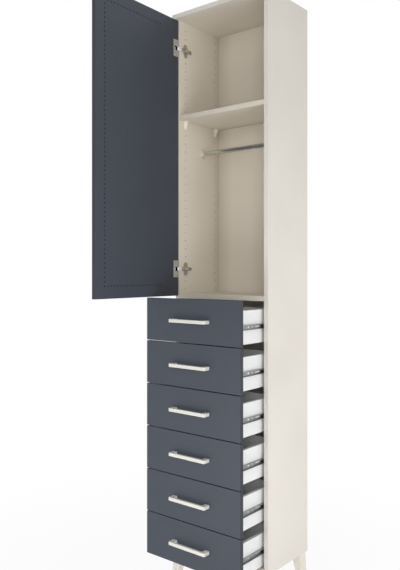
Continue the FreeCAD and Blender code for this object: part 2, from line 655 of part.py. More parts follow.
flange = new_body("flange")
extrude(flange, "Pad", rectangle(flange, "XZ_Plane", ("cup_x - flange_width / 2", "0 - flange_length / 2",
                                                      "0 - hinge_face_offset"),
                                 "flange_width", "flange_length"), "flange_sheet", backwards=True)
soften(flange, "flange_corner", runs_along("y"))
for side in ("", "0 - "):
    bore_back(flange, "cup_x", "hinge_face_offset", side + "cup_screw_spacing / 2",
              "cup_screw + 2 * fit_clearance", "flange_sheet")
cup = join(flange, solid_round(("cup_x", "cup_floor_y", 0), "cup_radius", "cup_depth + flange_sheet / 2", "y"))
# The mouth is as high as the arm needs, and reaches from the round wall behind the pin to the arm's far side.
mouth = solid_round(("cup_x", "cup_floor_y + cup_floor", 0), "cup_radius - cup_wall", "2 * cup_depth", "y")
mouth = cut(mouth, solid_box(("cup_mouth_reach", "cup_floor_y", "0 - cup_bore"),
                             ("cup_bore", "4 * cup_depth", "2 * cup_bore")))
for z in ("cup_mouth_height / 2", "0 - cup_mouth_height / 2 - cup_bore"):
    mouth = cut(mouth, solid_box(("cup_x - cup_bore", "cup_floor_y", z),
                                 ("2 * cup_bore", "4 * cup_depth", "cup_bore")))
cup = cut(cup, mouth)
pin = solid_round((0, 0, 0), "hinge_pin / 2", "hinge_pin_length")
cup_screw = screw("cup_screw", "(cup_screw_length + flange_sheet)", "cup_screw_head", "cup_screw_head_height")
on_door(group("hinge_cups", [copy_of(cup, (0, 0, z)) for z in cup_places]))
on_door(group("hinge_pins", [copy_of(pin, (0, 0, z + " - hinge_pin_length / 2")) for z in cup_places]))
on_door(group("hinge_cup_screws",
              [copy_of(cup_screw, ("cup_x", "hinge_face_offset - cup_screw_length",
                                   "%s %s cup_screw_spacing / 2" % (z, side)), "0 - 90", Vector(1, 0, 0))
               for z in cup_places for side in "+-"]))

# ---------------------------------------------------------------- slides
# Both members are drawn for the right side, from their front end.
drawer_member = cut(
    solid_box((0, 0, "0 - slide_height / 2"), ("slide_depth", "slide_length", "slide_height")),
    solid_box(("slide_sheet", "0 - slide_length / 2", "slide_sheet - slide_height / 2"),
              ("slide_depth", "2 * slide_length", "slide_height - 2 * slide_sheet")))
for size, spot in (("slide_hole", "slide_hole_at"), ("slide_small_hole", "slide_small_hole_at"),
                   ("slide_slot_width", "slide_slot_from"),
                   ("slide_slot_width", "slide_slot_from + slide_slot_length")):
    drawer_member = cut(drawer_member, solid_round(("0 - slide_sheet", spot, 0), size + " / 2",
                                                   "3 * slide_sheet", "x"))
drawer_member = cut(drawer_member, solid_box(("0 - slide_sheet", "slide_slot_from", "0 - slide_slot_width / 2"),
                                             ("3 * slide_sheet", "slide_slot_length", "slide_slot_width")))

cabinet_member = cut(
    solid_box(("0 - channel_reach", "retainer_nose", "0 - channel_half"),
              ("channel_reach", "slide_length - retainer_nose", "2 * channel_half")),
    solid_box(("0 - 2 * channel_reach", "0 - slide_length / 2", "slide_sheet - channel_half"),
              ("2 * channel_reach - slide_sheet", "2 * slide_length", "2 * channel_half - 2 * slide_sheet")))
retainer = join(
    solid_box(("0 - retainer_reach", 0, "0 - retainer_half"),
              ("retainer_reach", "retainer_nose", "2 * retainer_half")),
    cut(solid_box(("0 - retainer_reach", 0, "0 - retainer_half"),
                  ("retainer_reach", "retainer_nose + retainer_length", "2 * retainer_half")),
        solid_box(("0 - channel_reach", 0, "0 - channel_half"),
                  ("2 * channel_reach", "2 * slide_length", "2 * channel_half"))))

slide_places = []
for drawer in range(int(SIZES["drawer_count"])):
    z = "fronts_z + %d * drawer_pitch + slide_z" % drawer
    slide_places.append((("inner_right", "front_y + slide_setback", z), 0))
    slide_places.append((("inner_left", "front_y + slide_setback", z), 180))
for label, piece in (("cabinet_slide_members", cabinet_member), ("slide_retainers", retainer)):
    group(label, [copy_of(piece, spot, turn, Vector(0, 1, 0)) for spot, turn in slide_places])


# ---------------------------------------------------------------- drawers
def drawer_front():
    """A front, from the lower left corner of its rear face, with a groove for the box bottom."""
    body = new_body("front")
    extrude(body, "Pad", rectangle(body, "XY_Plane", (0, "0 - front_thickness", 0), "front_width",
                                   "front_thickness"), "front_height")
    soften(body, "front_softening")
    front_holes(body, "front_width / 2", "front_height / 2", "0 - front_thickness", upright=False)
    groove(body, ("box_left + box_board - bottom_groove", "0 - bottom_groove", "bottom_z"),
           "box_width - 2 * box_board + 2 * bottom_groove", "2 * bottom_groove",
           "bottom_thickness + 2 * fit_clearance")
    return body


def box_side(is_left):
    """A box side with the groove for the bottom along its inner face."""
    body = board_body("box_side", "box_board", "box_depth", "box_height")
    groove(body, ("box_board - bottom_groove" if is_left else "0", 0, "bottom_rise"),
           "bottom_groove", "box_depth", "bottom_thickness + 2 * fit_clearance")
    return place(body, ("box_left" if is_left else "box_right - box_board", 0, "box_rise"))


for number in range(1, int(SIZES["drawer_count"]) + 1):
    def on_drawer(thing, label, x="0", y="0", z="0"):
        low = "fronts_z + (drawer_count - %d) * drawer_pitch" % number
        place(thing, ("left_x + side_gap + %s" % x, "drawer_y + %s" % y, "%s + %s" % (low, z)))
        return node(thing, "drawer_%d_%s" % (number, label))

    on_drawer(drawer_front(), "front")
    sides = doc.addObject("Part::Compound", fresh("group"))
    sides.Links = [box_side(True), box_side(False)]
    on_drawer(sides, "box_sides")
    on_drawer(board_body("box_back", "box_width - 2 * box_board", "box_board",
                         "box_height - bottom_rise - bottom_thickness - 2 * fit_clearance"),
              "box_back", "box_left + box_board", "box_depth - box_board",
              "bottom_z + bottom_thickness + 2 * fit_clearance")
    on_drawer(board_body("box_bottom", "box_width - 2 * box_board + 2 * (bottom_groove - fit_clearance)",
                         "box_depth + bottom_groove - fit_clearance", "bottom_thickness"),
              "box_bottom", "box_left + box_board - bottom_groove + fit_clearance",
              "0 - bottom_groove + fit_clearance", "bottom_z + fit_clearance")
    pieces = [copy_of(handle, ("front_width / 2", "0 - front_thickness", "front_height / 2"))]
    for side in (" + ", " - "):
        pieces.append(copy_of(handle_screw, ("front_width / 2" + side + "handle_centres / 2",
                                             "0 - front_thickness - handle_screw_grip", "front_height / 2"),
                              "0 - 90", Vector(1, 0, 0)))
    with_screws = doc.addObject("Part::Compound", fresh("group"))
    with_screws.Links = pieces
    on_drawer(with_screws, "handle")
    members = doc.addObject("Part::Compound", fresh("group"))
    members.Links = [copy_of(drawer_member, ("box_right", "slide_front", "slide_z"), 0, Vector(0, 1, 0)),
                     copy_of(drawer_member, ("box_left", "slide_front", "slide_z"), 180, Vector(0, 1, 0))]
    on_drawer(members, "slide_members")

# ---------------------------------------------------------------- check and write
doc.recompute()
for thing in doc.Objects:
    if "Invalid" in thing.State or "Error" in thing.State:
        raise RuntimeError("%s (%s) failed" % (thing.Name, thing.Label))
    if thing.TypeId == "PartDesign::Pocket" and thing.Shape.Volume > thing.BaseFeature.Shape.Volume - 0.01:
        raise RuntimeError("%s cuts nothing" % thing.Name)
os.makedirs("parts", exist_ok=True)
for thing in nodes:
    if thing.Shape.isNull() or not thing.Shape.isValid():
        raise RuntimeError("%s has no valid shape" % thing.Label)
    thing.Shape.exportStep("parts/%s.step" % thing.Label)
print("%d nodes" % len(nodes))
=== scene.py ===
# %% [markdown]
# # A tall cabinet with one door over six drawers
#
# This lesson dresses a cabinet that was drawn in CAD. The CAD gives every board, hinge and slide its
# true size and place. Blender adds what CAD leaves out: the coatings, the raw edges, the pressed
# steel of the fittings, soft light, and a camera. We work in metres, with +Z up and the front of the
# cabinet towards -Y, so a piece goes where the CAD says it is and nothing has to be fitted by eye.

# %% Load the CAD model
import bpy
import bmesh
import json
import math
from mathutils import Matrix, Vector


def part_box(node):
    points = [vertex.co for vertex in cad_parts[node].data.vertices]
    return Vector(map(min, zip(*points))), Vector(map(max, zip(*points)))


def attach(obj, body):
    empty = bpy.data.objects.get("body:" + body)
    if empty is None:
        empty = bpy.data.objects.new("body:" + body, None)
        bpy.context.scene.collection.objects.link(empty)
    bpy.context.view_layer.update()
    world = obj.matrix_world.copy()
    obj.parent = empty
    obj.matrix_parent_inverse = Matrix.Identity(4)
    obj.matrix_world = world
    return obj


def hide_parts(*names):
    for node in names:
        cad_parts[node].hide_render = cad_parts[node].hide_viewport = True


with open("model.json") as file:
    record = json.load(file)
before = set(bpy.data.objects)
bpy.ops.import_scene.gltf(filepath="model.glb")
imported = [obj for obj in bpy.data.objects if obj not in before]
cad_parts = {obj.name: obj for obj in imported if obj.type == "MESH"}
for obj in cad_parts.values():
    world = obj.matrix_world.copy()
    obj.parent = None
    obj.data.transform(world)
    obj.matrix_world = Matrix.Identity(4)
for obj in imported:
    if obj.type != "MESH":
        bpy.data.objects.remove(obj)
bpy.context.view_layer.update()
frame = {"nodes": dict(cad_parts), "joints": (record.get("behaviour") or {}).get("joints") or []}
nodes = frame["nodes"]
DRAWERS = range(1, 7)

# %% [markdown]
# ## Places we will need again
#
# A few planes of the cabinet come up in many finishes: the inner faces of the sides, and the front and
# rear edges of the boards. We could write them down as numbers, but we read them from the CAD nodes
# once, so that the finishes follow the boards when a board changes.

# %% Read the planes of the cabinet
left_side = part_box("left_side_panel")
right_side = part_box("right_side_panel")
top_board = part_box("top_panel")
bottom_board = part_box("bottom_panel")
back_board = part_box("back_panel")

board = left_side[1].x - left_side[0].x
inner_left, inner_right = left_side[1].x, right_side[0].x
front_y, rear_y = left_side[0].y, left_side[1].y
nose_y = top_board[0].y
floor_z, roof_z = bottom_board[1].z, top_board[0].z
middle_x = (inner_left + inner_right) / 2
half_width = (inner_right - inner_left) / 2
print("board", round(board * 1000, 1), "mm, inside", round(2000 * half_width, 1), "mm wide")

# %% [markdown]
# ## The camera
#
# The view is a product view with upright lines that stay upright. A real photographer gets that by
# keeping the camera level and shifting the lens, and so do we: the camera only turns about the
# vertical, and shift_x and shift_y slide the picture until the cabinet sits where it should.

# %% Place the camera
IMAGE_WIDTH, IMAGE_HEIGHT = 400, 570
FOCAL_PIXELS = 653.73
VANISHING_X, HORIZON_Y = 217.26, 270.79
FILM_WIDTH = 36.0
CAMERA_PLACE = (1.73299, -1.90256, 1.22754)
TURN_TO_LEFT = 0.6752

camera_data = bpy.data.cameras.new("view_camera")
camera = bpy.data.objects.new("view_camera", camera_data)
bpy.context.scene.collection.objects.link(camera)

camera_data.sensor_width = FILM_WIDTH
camera_data.lens = FOCAL_PIXELS / IMAGE_HEIGHT * camera_data.sensor_width
camera_data.shift_x = (IMAGE_WIDTH / 2 - VANISHING_X) / IMAGE_HEIGHT
camera_data.shift_y = (HORIZON_Y - IMAGE_HEIGHT / 2) / IMAGE_HEIGHT
camera.location = CAMERA_PLACE
camera.rotation_euler = (math.radians(90), 0, TURN_TO_LEFT)
bpy.context.scene.camera = camera
print("lens", round(camera_data.lens, 1), "mm, camera", CAMERA_PLACE[2], "m over the floor")

# %% [markdown]
# ## Helpers for finishes
#
# A finish is a small graph of nodes. These helpers keep the graphs readable: `finish` starts a
# material from a plain surface, `add` makes a node and plugs values or other nodes into it, and the
# short functions under it name the operations that come up again and again.

# %% Helpers: colours and surfaces
def tone(red, green, blue):
    """A colour as a painter reads it (0 to 255), turned into the linear light that the shader wants."""
    def linear(value):
        value = value / 255
        return value / 12.92 if value <= 0.04045 else ((value + 0.055) / 1.055) ** 2.4
    return (linear(red), linear(green), linear(blue), 1.0)


def surface_of(material):
    """The surface shader of a finish."""
    return material.node_tree.nodes["Principled BSDF"]


def finish(name, colour, roughness, metallic=0.0, specular=0.5):
    """A material with one plain surface shader. Its graph is grown afterwards."""
    material = bpy.data.materials.new(name)
    material.use_nodes = True
    inputs = surface_of(material).inputs
    inputs["Base Color"].default_value = colour
    inputs["Roughness"].default_value = roughness
    inputs["Metallic"].default_value = metallic
    inputs["Specular IOR Level"].default_value = specular
    material.diffuse_color = colour
    return material


print("middle grey, 128 of 255, is", round(tone(128, 128, 128)[0], 3), "in linear light")


# %% Helpers: making nodes
def fill_socket(material, socket, value):
    """Gives a socket a value, or links another node's output to it."""
    if isinstance(value, bpy.types.NodeSocket):
        material.node_tree.links.new(value, socket)
    else:
        socket.default_value = value


def add(material, kind, inputs=None, **settings):
    """Adds a node. inputs maps a socket to a value or to another node's output."""
    node = material.node_tree.nodes.new(kind)
    for name, value in settings.items():
        setattr(node, name, value)
    for socket, value in (inputs or {}).items():
        fill_socket(material, node.inputs[socket], value)
    return node


def plug(material, output, socket):
    """Feeds an output into a socket of the surface shader."""
    fill_socket(material, surface_of(material).inputs[socket], output)


def math_node(material, operation, a, b=0.0):
    """One step of arithmetic, such as MULTIPLY or LESS_THAN."""
    return add(material, "ShaderNodeMath", {0: a, 1: b}, operation=operation).outputs[0]


print("kinds of shader node:", sum(kind.startswith("ShaderNode") for kind in dir(bpy.types)))


# %% Helpers: places
def place_on_piece(material):
    """Where a point lies on the model, in metres: it stays with the piece when the piece moves."""
    return add(material, "ShaderNodeTexCoord").outputs["Object"]


def coordinates(material, where):
    """The same place as three separate numbers, x, y and z."""
    parts = add(material, "ShaderNodeSeparateXYZ", {0: where})
    return parts.outputs[0], parts.outputs[1], parts.outputs[2]


def stretched(material, where, scale):
    """The same place, stretched, so that a texture gets long in one direction."""
    return add(material, "ShaderNodeMapping", {"Vector": where, "Scale": scale}).outputs[0]


# %% Helpers: textures and tones
def noise(material, where, scale, detail=2.0, roughness=0.5):
    """Soft random values from about 0.3 to 0.7. A scale of 1000 makes grains about a millimetre wide."""
    node = add(material, "ShaderNodeTexNoise",
               {"Vector": where, "Scale": scale, "Detail": detail, "Roughness": roughness})
    return node.outputs[0]


def spread(material, value, low, high, new_low, new_high):
    """Maps low..high to new_low..new_high, clamped at both ends."""
    return add(material, "ShaderNodeMapRange",
               {0: value, 1: low, 2: high, 3: new_low, 4: new_high}).outputs[0]


def mixed(material, amount, first, second):
    """Mixes two colours by an amount from 0 to 1. The colour sockets of this node are 6 and 7."""
    node = add(material, "ShaderNodeMix", {0: amount, 6: first, 7: second}, data_type="RGBA")
    return node.outputs[2]


def clouded(material, value, colour, other, share, low=0.35, high=0.65):
    """Lets another colour come through where a value is high, up to a share."""
    return mixed(material, spread(material, value, low, high, 0.0, share), colour, other)


def vary_gloss(material, value, smoothest, roughest):
    """Lets a noise drive the roughness of the surface."""
    plug(material, spread(material, value, 0.3, 0.7, smoothest, roughest), "Roughness")


print("a noise of scale 400 has grains of about", 1000 / 400, "mm")


# %% Helpers: masks
def between(material, value, low, high):
    """1 where low < value < high, and 0 elsewhere."""
    return math_node(material, "MULTIPLY", math_node(material, "GREATER_THAN", value, low),
                     math_node(material, "LESS_THAN", value, high))


def all_of(material, *masks):
    """1 where every mask is 1. A plain share among them makes the whole that much weaker."""
    result = masks[0]
    for mask in masks[1:]:
        result = math_node(material, "MULTIPLY", result, mask)
    return result


def any_of(material, *masks):
    """1 where at least one mask is 1."""
    result = masks[0]
    for mask in masks[1:]:
        result = math_node(material, "MAXIMUM", result, mask)
    return result


print("a mask for the inside runs from x =", round(inner_left, 3), "to", round(inner_right, 3), "m")


# %% Helpers: relief and covering
def emboss(material, height, depth, strength):
    """Small relief: height is 0 to 1, and depth is how far that stands out, in metres."""
    bump = add(material, "ShaderNodeBump", {"Height": height, "Distance": depth, "Strength": strength})
    plug(material, bump.outputs[0], "Normal")


def cover(node_name, material):
    """Gives a CAD node its finish."""
    node = nodes[node_name]
    node.data.materials.clear()
    node.data.materials.append(material)


print("nodes to cover:", len(nodes))

# %% [markdown]
# ## Coated board
#
# The carcass is particle board with a thin cream coating. Up close such a coating isn't smooth: it
# is pressed with a fine pearl texture, and its tone drifts a little over a metre of board. Where the
# board was cut or drilled the coating is gone, and the chips show. We could paint masks by hand, but
# the board's own measures tell us where it is cut: anything inside its thickness is a drilled wall,
# paler because dust of the coating sticks in it, and everything at the very back is a sawn edge. The
# front edges carry a glued strip of the same colour, which leaves a hairline joint one millimetre in.
# Inside, the last five centimetres before the back are painted a little darker, as painted shade in the
# corners.

# %% Finish: chips of the raw board
CHIP_SCALE = 420.0


def chip_colour(material, where):
    """Pressed wood chips: short pale and brown flakes with dark glue between them."""
    flakes = add(material, "ShaderNodeTexVoronoi",
                 {"Vector": stretched(material, where, (1.0, 1.0, 0.45)), "Scale": CHIP_SCALE})
    flake_tone = add(material, "ShaderNodeSeparateColor", {0: flakes.outputs["Color"]}).outputs[0]
    dust = noise(material, where, 900.0, detail=3.0)
    pale = mixed(material, flake_tone, tone(150, 118, 80), tone(196, 166, 122))
    return mixed(material, spread(material, dust, 0.35, 0.6, 0.55, 0.0), pale, tone(104, 78, 50))


print("chips about", round(1000 / CHIP_SCALE, 1), "mm wide")

# %% Finish: cream coating
CREAM_OUTSIDE = tone(222, 217, 209)
# Painted light: the inside cream is a warmer copy of the outside one, standing in for light bouncing inside
# the cabinet.
CREAM_WITH_PAINTED_BOUNCE = tone(221, 213, 199)
CREAM_CLOUD = tone(150, 142, 126)
CORNER_PAINTED_SHADE = tone(120, 108, 90)
STRIP_GLUE = tone(96, 90, 80)
# Thickness of the coating and depth of the edge strip, with its joint from and to. A mask takes a
# little more than the face that it picks, and painted shade darkens the corners over the last stretch inside.
COATING, STRIP, STRIP_JOINT = 0.0003, 0.002, (0.0009, 0.0012)
MASK_SLACK, CORNER_SHADE_REACH = 0.0002, 0.05
CORNER_SHADE_SHARE, GLUE_SHARE, DRILLED_SHARE = 0.16, 0.45, 0.6
print("coating", 1000 * COATING, "mm, joint", 1000 * STRIP_JOINT[0], "mm behind the edge")


def coated_board(name, outside, inside, seam_y):
    """Cream coating with painted bounce light inside the cabinet and painted shade near the back, a strip
    joint in front and raw chips at the back.
    """
    material = finish(name, outside, roughness=0.46, specular=0.4)
    where = place_on_piece(material)
    x, y, z = coordinates(material, where)
    within = all_of(material, between(material, x, inner_left - MASK_SLACK, inner_right + MASK_SLACK),
                    between(material, y, front_y + 3 * MASK_SLACK, rear_y),
                    between(material, z, floor_z - MASK_SLACK, roof_z + MASK_SLACK))
    coating = mixed(material, within, outside, inside)
    coating = clouded(material, noise(material, where, 3.0, detail=3.0), coating, CREAM_CLOUD, share=0.10)
    # Painted shade: the cream darkens over the last stretch before the back.
    painted_corner_shade = spread(material, y, back_board[0].y - CORNER_SHADE_REACH, back_board[0].y, 0.0, CORNER_SHADE_SHARE)
    coating = mixed(material, all_of(material, painted_corner_shade, within), coating, CORNER_PAINTED_SHADE)
    seam = between(material, y, seam_y + STRIP_JOINT[0], seam_y + STRIP_JOINT[1])
    coating = mixed(material, all_of(material, seam, GLUE_SHARE), coating, STRIP_GLUE)
    beside = math_node(material, "ABSOLUTE", math_node(material, "SUBTRACT", x, middle_x))
    drilled = all_of(material,
                     between(material, beside, half_width + COATING, half_width + board - COATING),
                     between(material, y, front_y + STRIP, rear_y - COATING),
                     between(material, z, floor_z + COATING, roof_z - COATING))
    sawn = math_node(material, "GREATER_THAN", y, rear_y - MASK_SLACK)
    raw = any_of(material, all_of(material, drilled, DRILLED_SHARE), sawn)
    plug(material, mixed(material, raw, coating, chip_colour(material, where)), "Base Color")
    vary_gloss(material, noise(material, where, 420.0), smoothest=0.40, roughest=0.54)
    emboss(material, noise(material, where, 1100.0), depth=0.00006, strength=0.5)
    return material


# %% Cover the coated boards
shelf_front_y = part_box("adjustable_shelf")[0].y
side_finish = coated_board("side_board_cream", CREAM_OUTSIDE, CREAM_WITH_PAINTED_BOUNCE, front_y)
end_finish = coated_board("end_board_cream", CREAM_OUTSIDE, CREAM_WITH_PAINTED_BOUNCE, nose_y)
shelf_finish = coated_board("shelf_board_cream", CREAM_WITH_PAINTED_BOUNCE, CREAM_WITH_PAINTED_BOUNCE, shelf_front_y)
for name in ("left_side_panel", "right_side_panel"):
    cover(name, side_finish)
for name in ("top_panel", "bottom_panel"):
    cover(name, end_finish)
for name in ("divider_panel", "adjustable_shelf"):
    cover(name, shelf_finish)
print("coated boards:", [m.name for m in (side_finish, end_finish, shelf_finish)])

# %% [markdown]
# ## The thin back
#
# The back is three-millimetre hardboard. It has the cream print on the side that faces the clothes.
# The other side is bare, brown and marked by the mesh that it was pressed on, which anyone sees who
# walks round the cabinet.

# %% Finish: hardboard
hardboard = finish("hardboard_back", CREAM_WITH_PAINTED_BOUNCE, roughness=0.55, specular=0.35)
where = place_on_piece(hardboard)
x, y, z = coordinates(hardboard, where)
bare = math_node(hardboard, "GREATER_THAN", y, back_board[0].y + COATING)
fibre = noise(hardboard, stretched(hardboard, where, (1.0, 1.0, 0.4)), 260.0, detail=6.0, roughness=0.65)
brown = clouded(hardboard, fibre, tone(104, 74, 48), tone(146, 110, 74), share=1.0, low=0.3, high=0.7)

PRINT_CLOUD = tone(170, 158, 136)
PRINT_SHADE_REACH, PRINT_SHADE_SHARE = 0.07, 0.26
printed = clouded(hardboard, noise(hardboard, where, 2.5, detail=3.0), CREAM_WITH_PAINTED_BOUNCE, PRINT_CLOUD, share=0.12)
# Painted shade: the print darkens over the last few centimetres towards each side wall, as in the corners.
from_middle = math_node(hardboard, "ABSOLUTE", math_node(hardboard, "SUBTRACT", x, middle_x))
printed = clouded(hardboard, from_middle, printed, CORNER_PAINTED_SHADE, share=PRINT_SHADE_SHARE,
                  low=half_width - PRINT_SHADE_REACH, high=half_width)
plug(hardboard, mixed(hardboard, bare, printed, brown), "Base Color")

MESH_PITCH = 0.0022
waves = [math_node(hardboard, "SINE", math_node(hardboard, "MULTIPLY", across, 2 * math.pi / MESH_PITCH))
         for across in (x, z)]
emboss(hardboard, all_of(hardboard, *waves, bare), depth=0.00015, strength=0.8)
cover("back_panel", hardboard)
print("back sheet", round((back_board[1].y - back_board[0].y) * 1000, 1), "mm thick")

# %% [markdown]
# ## Slate fronts
#
# The door and the drawer fronts are lacquered a deep blue grey, very matt. Matt lacquer still has a
# faint orange peel and a soft sheen at a grazing angle, so we mix in a paler cloud and lift a fine
# grain. A thin skin at the upright ends of each front, and at the door's free edge, gets a darker tone.

# %% Lacquer the drawer fronts
SLATE, SLATE_CLOUD = tone(60, 65, 75), tone(75, 80, 90)
SLATE_EDGE = tone(45, 49, 57)
EDGE_SKIN = 0.0006


def slate_lacquer(name):
    """The lacquer, the place on the piece, and the colour so far, for more to be mixed into it."""
    material = finish(name, SLATE, roughness=0.5, specular=0.35)
    where = place_on_piece(material)
    colour = clouded(material, noise(material, where, 5.0, detail=3.0), SLATE, SLATE_CLOUD, share=0.10)
    vary_gloss(material, noise(material, where, 60.0, detail=3.0), smoothest=0.44, roughest=0.56)
    emboss(material, noise(material, where, 700.0), depth=0.00005, strength=0.45)
    return material, where, colour


front_finish, where, colour = slate_lacquer("slate_lacquer_front")
x = coordinates(front_finish, where)[0]
front_low, front_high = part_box("drawer_1_front")
edges = any_of(front_finish, math_node(front_finish, "LESS_THAN", x, front_low.x + EDGE_SKIN),
               math_node(front_finish, "GREATER_THAN", x, front_high.x - EDGE_SKIN))
plug(front_finish, mixed(front_finish, edges, colour, SLATE_EDGE), "Base Color")
for drawer in DRAWERS:
    cover("drawer_%d_front" % drawer, front_finish)
print("drawer fronts", round((front_high.x - front_low.x) * 1000), "mm wide")

# %% [markdown]
# ## The door
#
# The door has the same lacquer. Its inner face has a line of shallow drilled dots along three of its
# edges, painted almost black as painted shade in them, and so are the bores of the hinges. The door
# hangs open at rest, so depth into its face can't be read off one axis: we measure it across the
# turned panel, from the hinge.

# %% Measure the turned door
door_joint = next(joint for joint in frame["joints"] if joint["name"] == "door_hinge")
hinge_axis = Vector(door_joint["pos_m"])
door_open = math.radians(-door_joint["range_deg"][0])
into_cabinet = Vector((math.sin(door_open), math.cos(door_open), 0))
along_door = Vector((math.cos(door_open), -math.sin(door_open), 0))
door_depths = [(v.co - hinge_axis).dot(into_cabinet) for v in nodes["door_panel"].data.vertices]
door_outer, door_inner = min(door_depths), max(door_depths)
door_reach = max((v.co - hinge_axis).dot(along_door) for v in nodes["door_panel"].data.vertices)
print("door", round((door_inner - door_outer) * 1000, 1), "mm thick, open by", round(math.degrees(door_open)),
      "degrees")

# %% Lacquer the door
SLATE_RECESS_SHADE = tone(10, 11, 13)
# Painted shade in the recesses: depth under the inner face, way along the door from the hinge, and inset.
RECESS_SHADE_DEPTHS = (0.0135, 0.0011)
RECESS_SHADE_RUN = (-0.0060, 0.4285)
RECESS_SHADE_INSET = 0.0015


def measured_along(material, where, direction):
    """How far a point lies from the hinge in one direction."""
    product = add(material, "ShaderNodeVectorMath", {0: where, 1: direction}, operation="DOT_PRODUCT")
    return math_node(material, "SUBTRACT", product.outputs["Value"], hinge_axis.dot(direction))


door_finish, where, colour = slate_lacquer("slate_lacquer_door")
depth = measured_along(door_finish, where, into_cabinet)
run = measured_along(door_finish, where, along_door)
z = coordinates(door_finish, where)[2]
door_low, door_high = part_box("door_panel")
# Painted shade: everything deeper than about a millimetre under the inner face, the dots and the hinge bores,
# is near black.
painted_recess_shade = all_of(door_finish, between(door_finish, depth, *[door_inner - deep for deep in RECESS_SHADE_DEPTHS]),
              between(door_finish, run, *RECESS_SHADE_RUN),
              between(door_finish, z, door_low.z + RECESS_SHADE_INSET, door_high.z - RECESS_SHADE_INSET))
edges = math_node(door_finish, "GREATER_THAN", run, door_reach - EDGE_SKIN)
colour = mixed(door_finish, edges, colour, SLATE_EDGE)
plug(door_finish, mixed(door_finish, painted_recess_shade, colour, SLATE_RECESS_SHADE), "Base Color")
cover("door_panel", door_finish)
print("door reaches", round(door_reach * 1000, 1), "mm from the hinge")

# %% [markdown]
# ## Drawer boxes
#
# The boxes are white coated board, cooler and brighter than the cream. Their bottoms are thin sheet with
# a plainer, duller print. One recipe serves both, because only the tone and the gloss differ.

# %% Finish: white boxes
BOX_CLOUD = tone(198, 198, 196)


def white_board(name, colour, roughness):
    """White coating with a faint cloud in its tone and a fine pearl."""
    material = finish(name, colour, roughness=roughness, specular=0.4)
    where = place_on_piece(material)
    drift = noise(material, where, 9.0)
    plug(material, clouded(material, drift, colour, BOX_CLOUD, share=0.08), "Base Color")
    emboss(material, noise(material, where, 1300.0), depth=0.00004, strength=0.4)
    return material


box_finish = white_board("box_white", tone(230, 231, 232), 0.45)
box_bottom_finish = white_board("box_bottom_white", tone(220, 220, 218), 0.55)
for drawer in DRAWERS:
    cover("drawer_%d_box_sides" % drawer, box_finish)
    cover("drawer_%d_box_back" % drawer, box_finish)
    cover("drawer_%d_box_bottom" % drawer, box_bottom_finish)
print("white boxes:", len(DRAWERS))

# %% [markdown]
# ## Legs
#
# The legs are solid wood under cream lacquer, and the grain still lifts the paint. A noise that is
# stretched along z gives long fibres, and the same noise drives tone, gloss and relief, so that the
# three agree.

# %% Finish: lacquered legs
LEG_CREAM, LEG_GRAIN = tone(226, 221, 211), tone(196, 188, 174)
leg_finish = finish("leg_lacquer", LEG_CREAM, roughness=0.42, specular=0.45)
where = place_on_piece(leg_finish)
grain = noise(leg_finish, stretched(leg_finish, where, (1.0, 1.0, 0.08)), 380.0, detail=4.0, roughness=0.6)
grained = clouded(leg_finish, grain, LEG_CREAM, LEG_GRAIN, share=0.22, low=0.4, high=0.62)
plug(leg_finish, grained, "Base Color")
vary_gloss(leg_finish, grain, smoothest=0.36, roughest=0.52)
emboss(leg_finish, grain, depth=0.00012, strength=0.6)
cover("legs", leg_finish)

# %% [markdown]
# ## Handles
#
# The handles are bars with a powder coat. Powder melts into a satin film with a tiny speckle, smoother
# than lacquer on wood, so the grain is very fine and the gloss a little higher.

# %% Finish: powder coated handles
HANDLE_CREAM, HANDLE_SPECK = tone(214, 212, 204), tone(192, 189, 180)
handle_finish = finish("handle_powder_coat", HANDLE_CREAM, roughness=0.34, specular=0.5)
where = place_on_piece(handle_finish)
speckle = noise(handle_finish, where, 1500.0)
speckled = clouded(handle_finish, speckle, HANDLE_CREAM, HANDLE_SPECK, share=0.15, low=0.42, high=0.62)
plug(handle_finish, speckled, "Base Color")
vary_gloss(handle_finish, noise(handle_finish, where, 90.0), smoothest=0.28, roughest=0.42)
emboss(handle_finish, speckle, depth=0.00005, strength=0.5)
print("handle finish:", handle_finish.name)

# %% [markdown]
# ## Metals
#
# The rail is chromed, the slides are zinc plated, and brackets, hinges and screws are nickel or zinc.
# What tells plated sheet from a mirror is its drawing lines: scratches that run along the part and
# spread each highlight. We stretch a noise along the part for them. Some platings come out chalky
# rather than bright, so each finish also says how metallic it is.

# %% Finish: metals
def plated_steel(name, colour, roughness, metallic=1.0, scratch_scale=(1.0, 0.04, 1.0)):
    """Plated sheet: fine drawing lines along the part and a cloudy gloss."""
    material = finish(name, colour, roughness=roughness, metallic=metallic)
    where = place_on_piece(material)
    lines = noise(material, stretched(material, where, scratch_scale), 1400.0, detail=3.0)
    cloud = noise(material, where, 45.0, detail=3.0)
    darker = tuple(0.72 * value for value in colour[:3]) + (1.0,)
    plug(material, clouded(material, cloud, colour, darker, share=0.5, low=0.3, high=0.7), "Base Color")
    vary_gloss(material, lines, roughness - 0.08, roughness + 0.12)
    emboss(material, lines, depth=0.00002, strength=0.5)
    return material


zinc = plated_steel("zinc_plated_slide", tone(164, 165, 167), 0.42)
screw_steel = plated_steel("zinc_screw", tone(188, 186, 180), 0.30)
chrome = plated_steel("chrome_rail", tone(204, 206, 204), 0.17, scratch_scale=(0.05, 1.0, 1.0))
bracket_finish = plated_steel("bracket_nickel", tone(228, 224, 214), 0.42, metallic=0.45)
cover("hanging_rail", chrome)
cover("rail_brackets", bracket_finish)
cover("cabinet_slide_members", zinc)
print("metals:", [metal.name for metal in (zinc, screw_steel, chrome, bracket_finish)])


# %% [markdown]
# ## Plastics
#
# The ball retainers of the slides are black, and the shelf supports are milky cream. Moulded plastic
# takes the spark-worn grain of its mould, so it has a low relief and no direction.

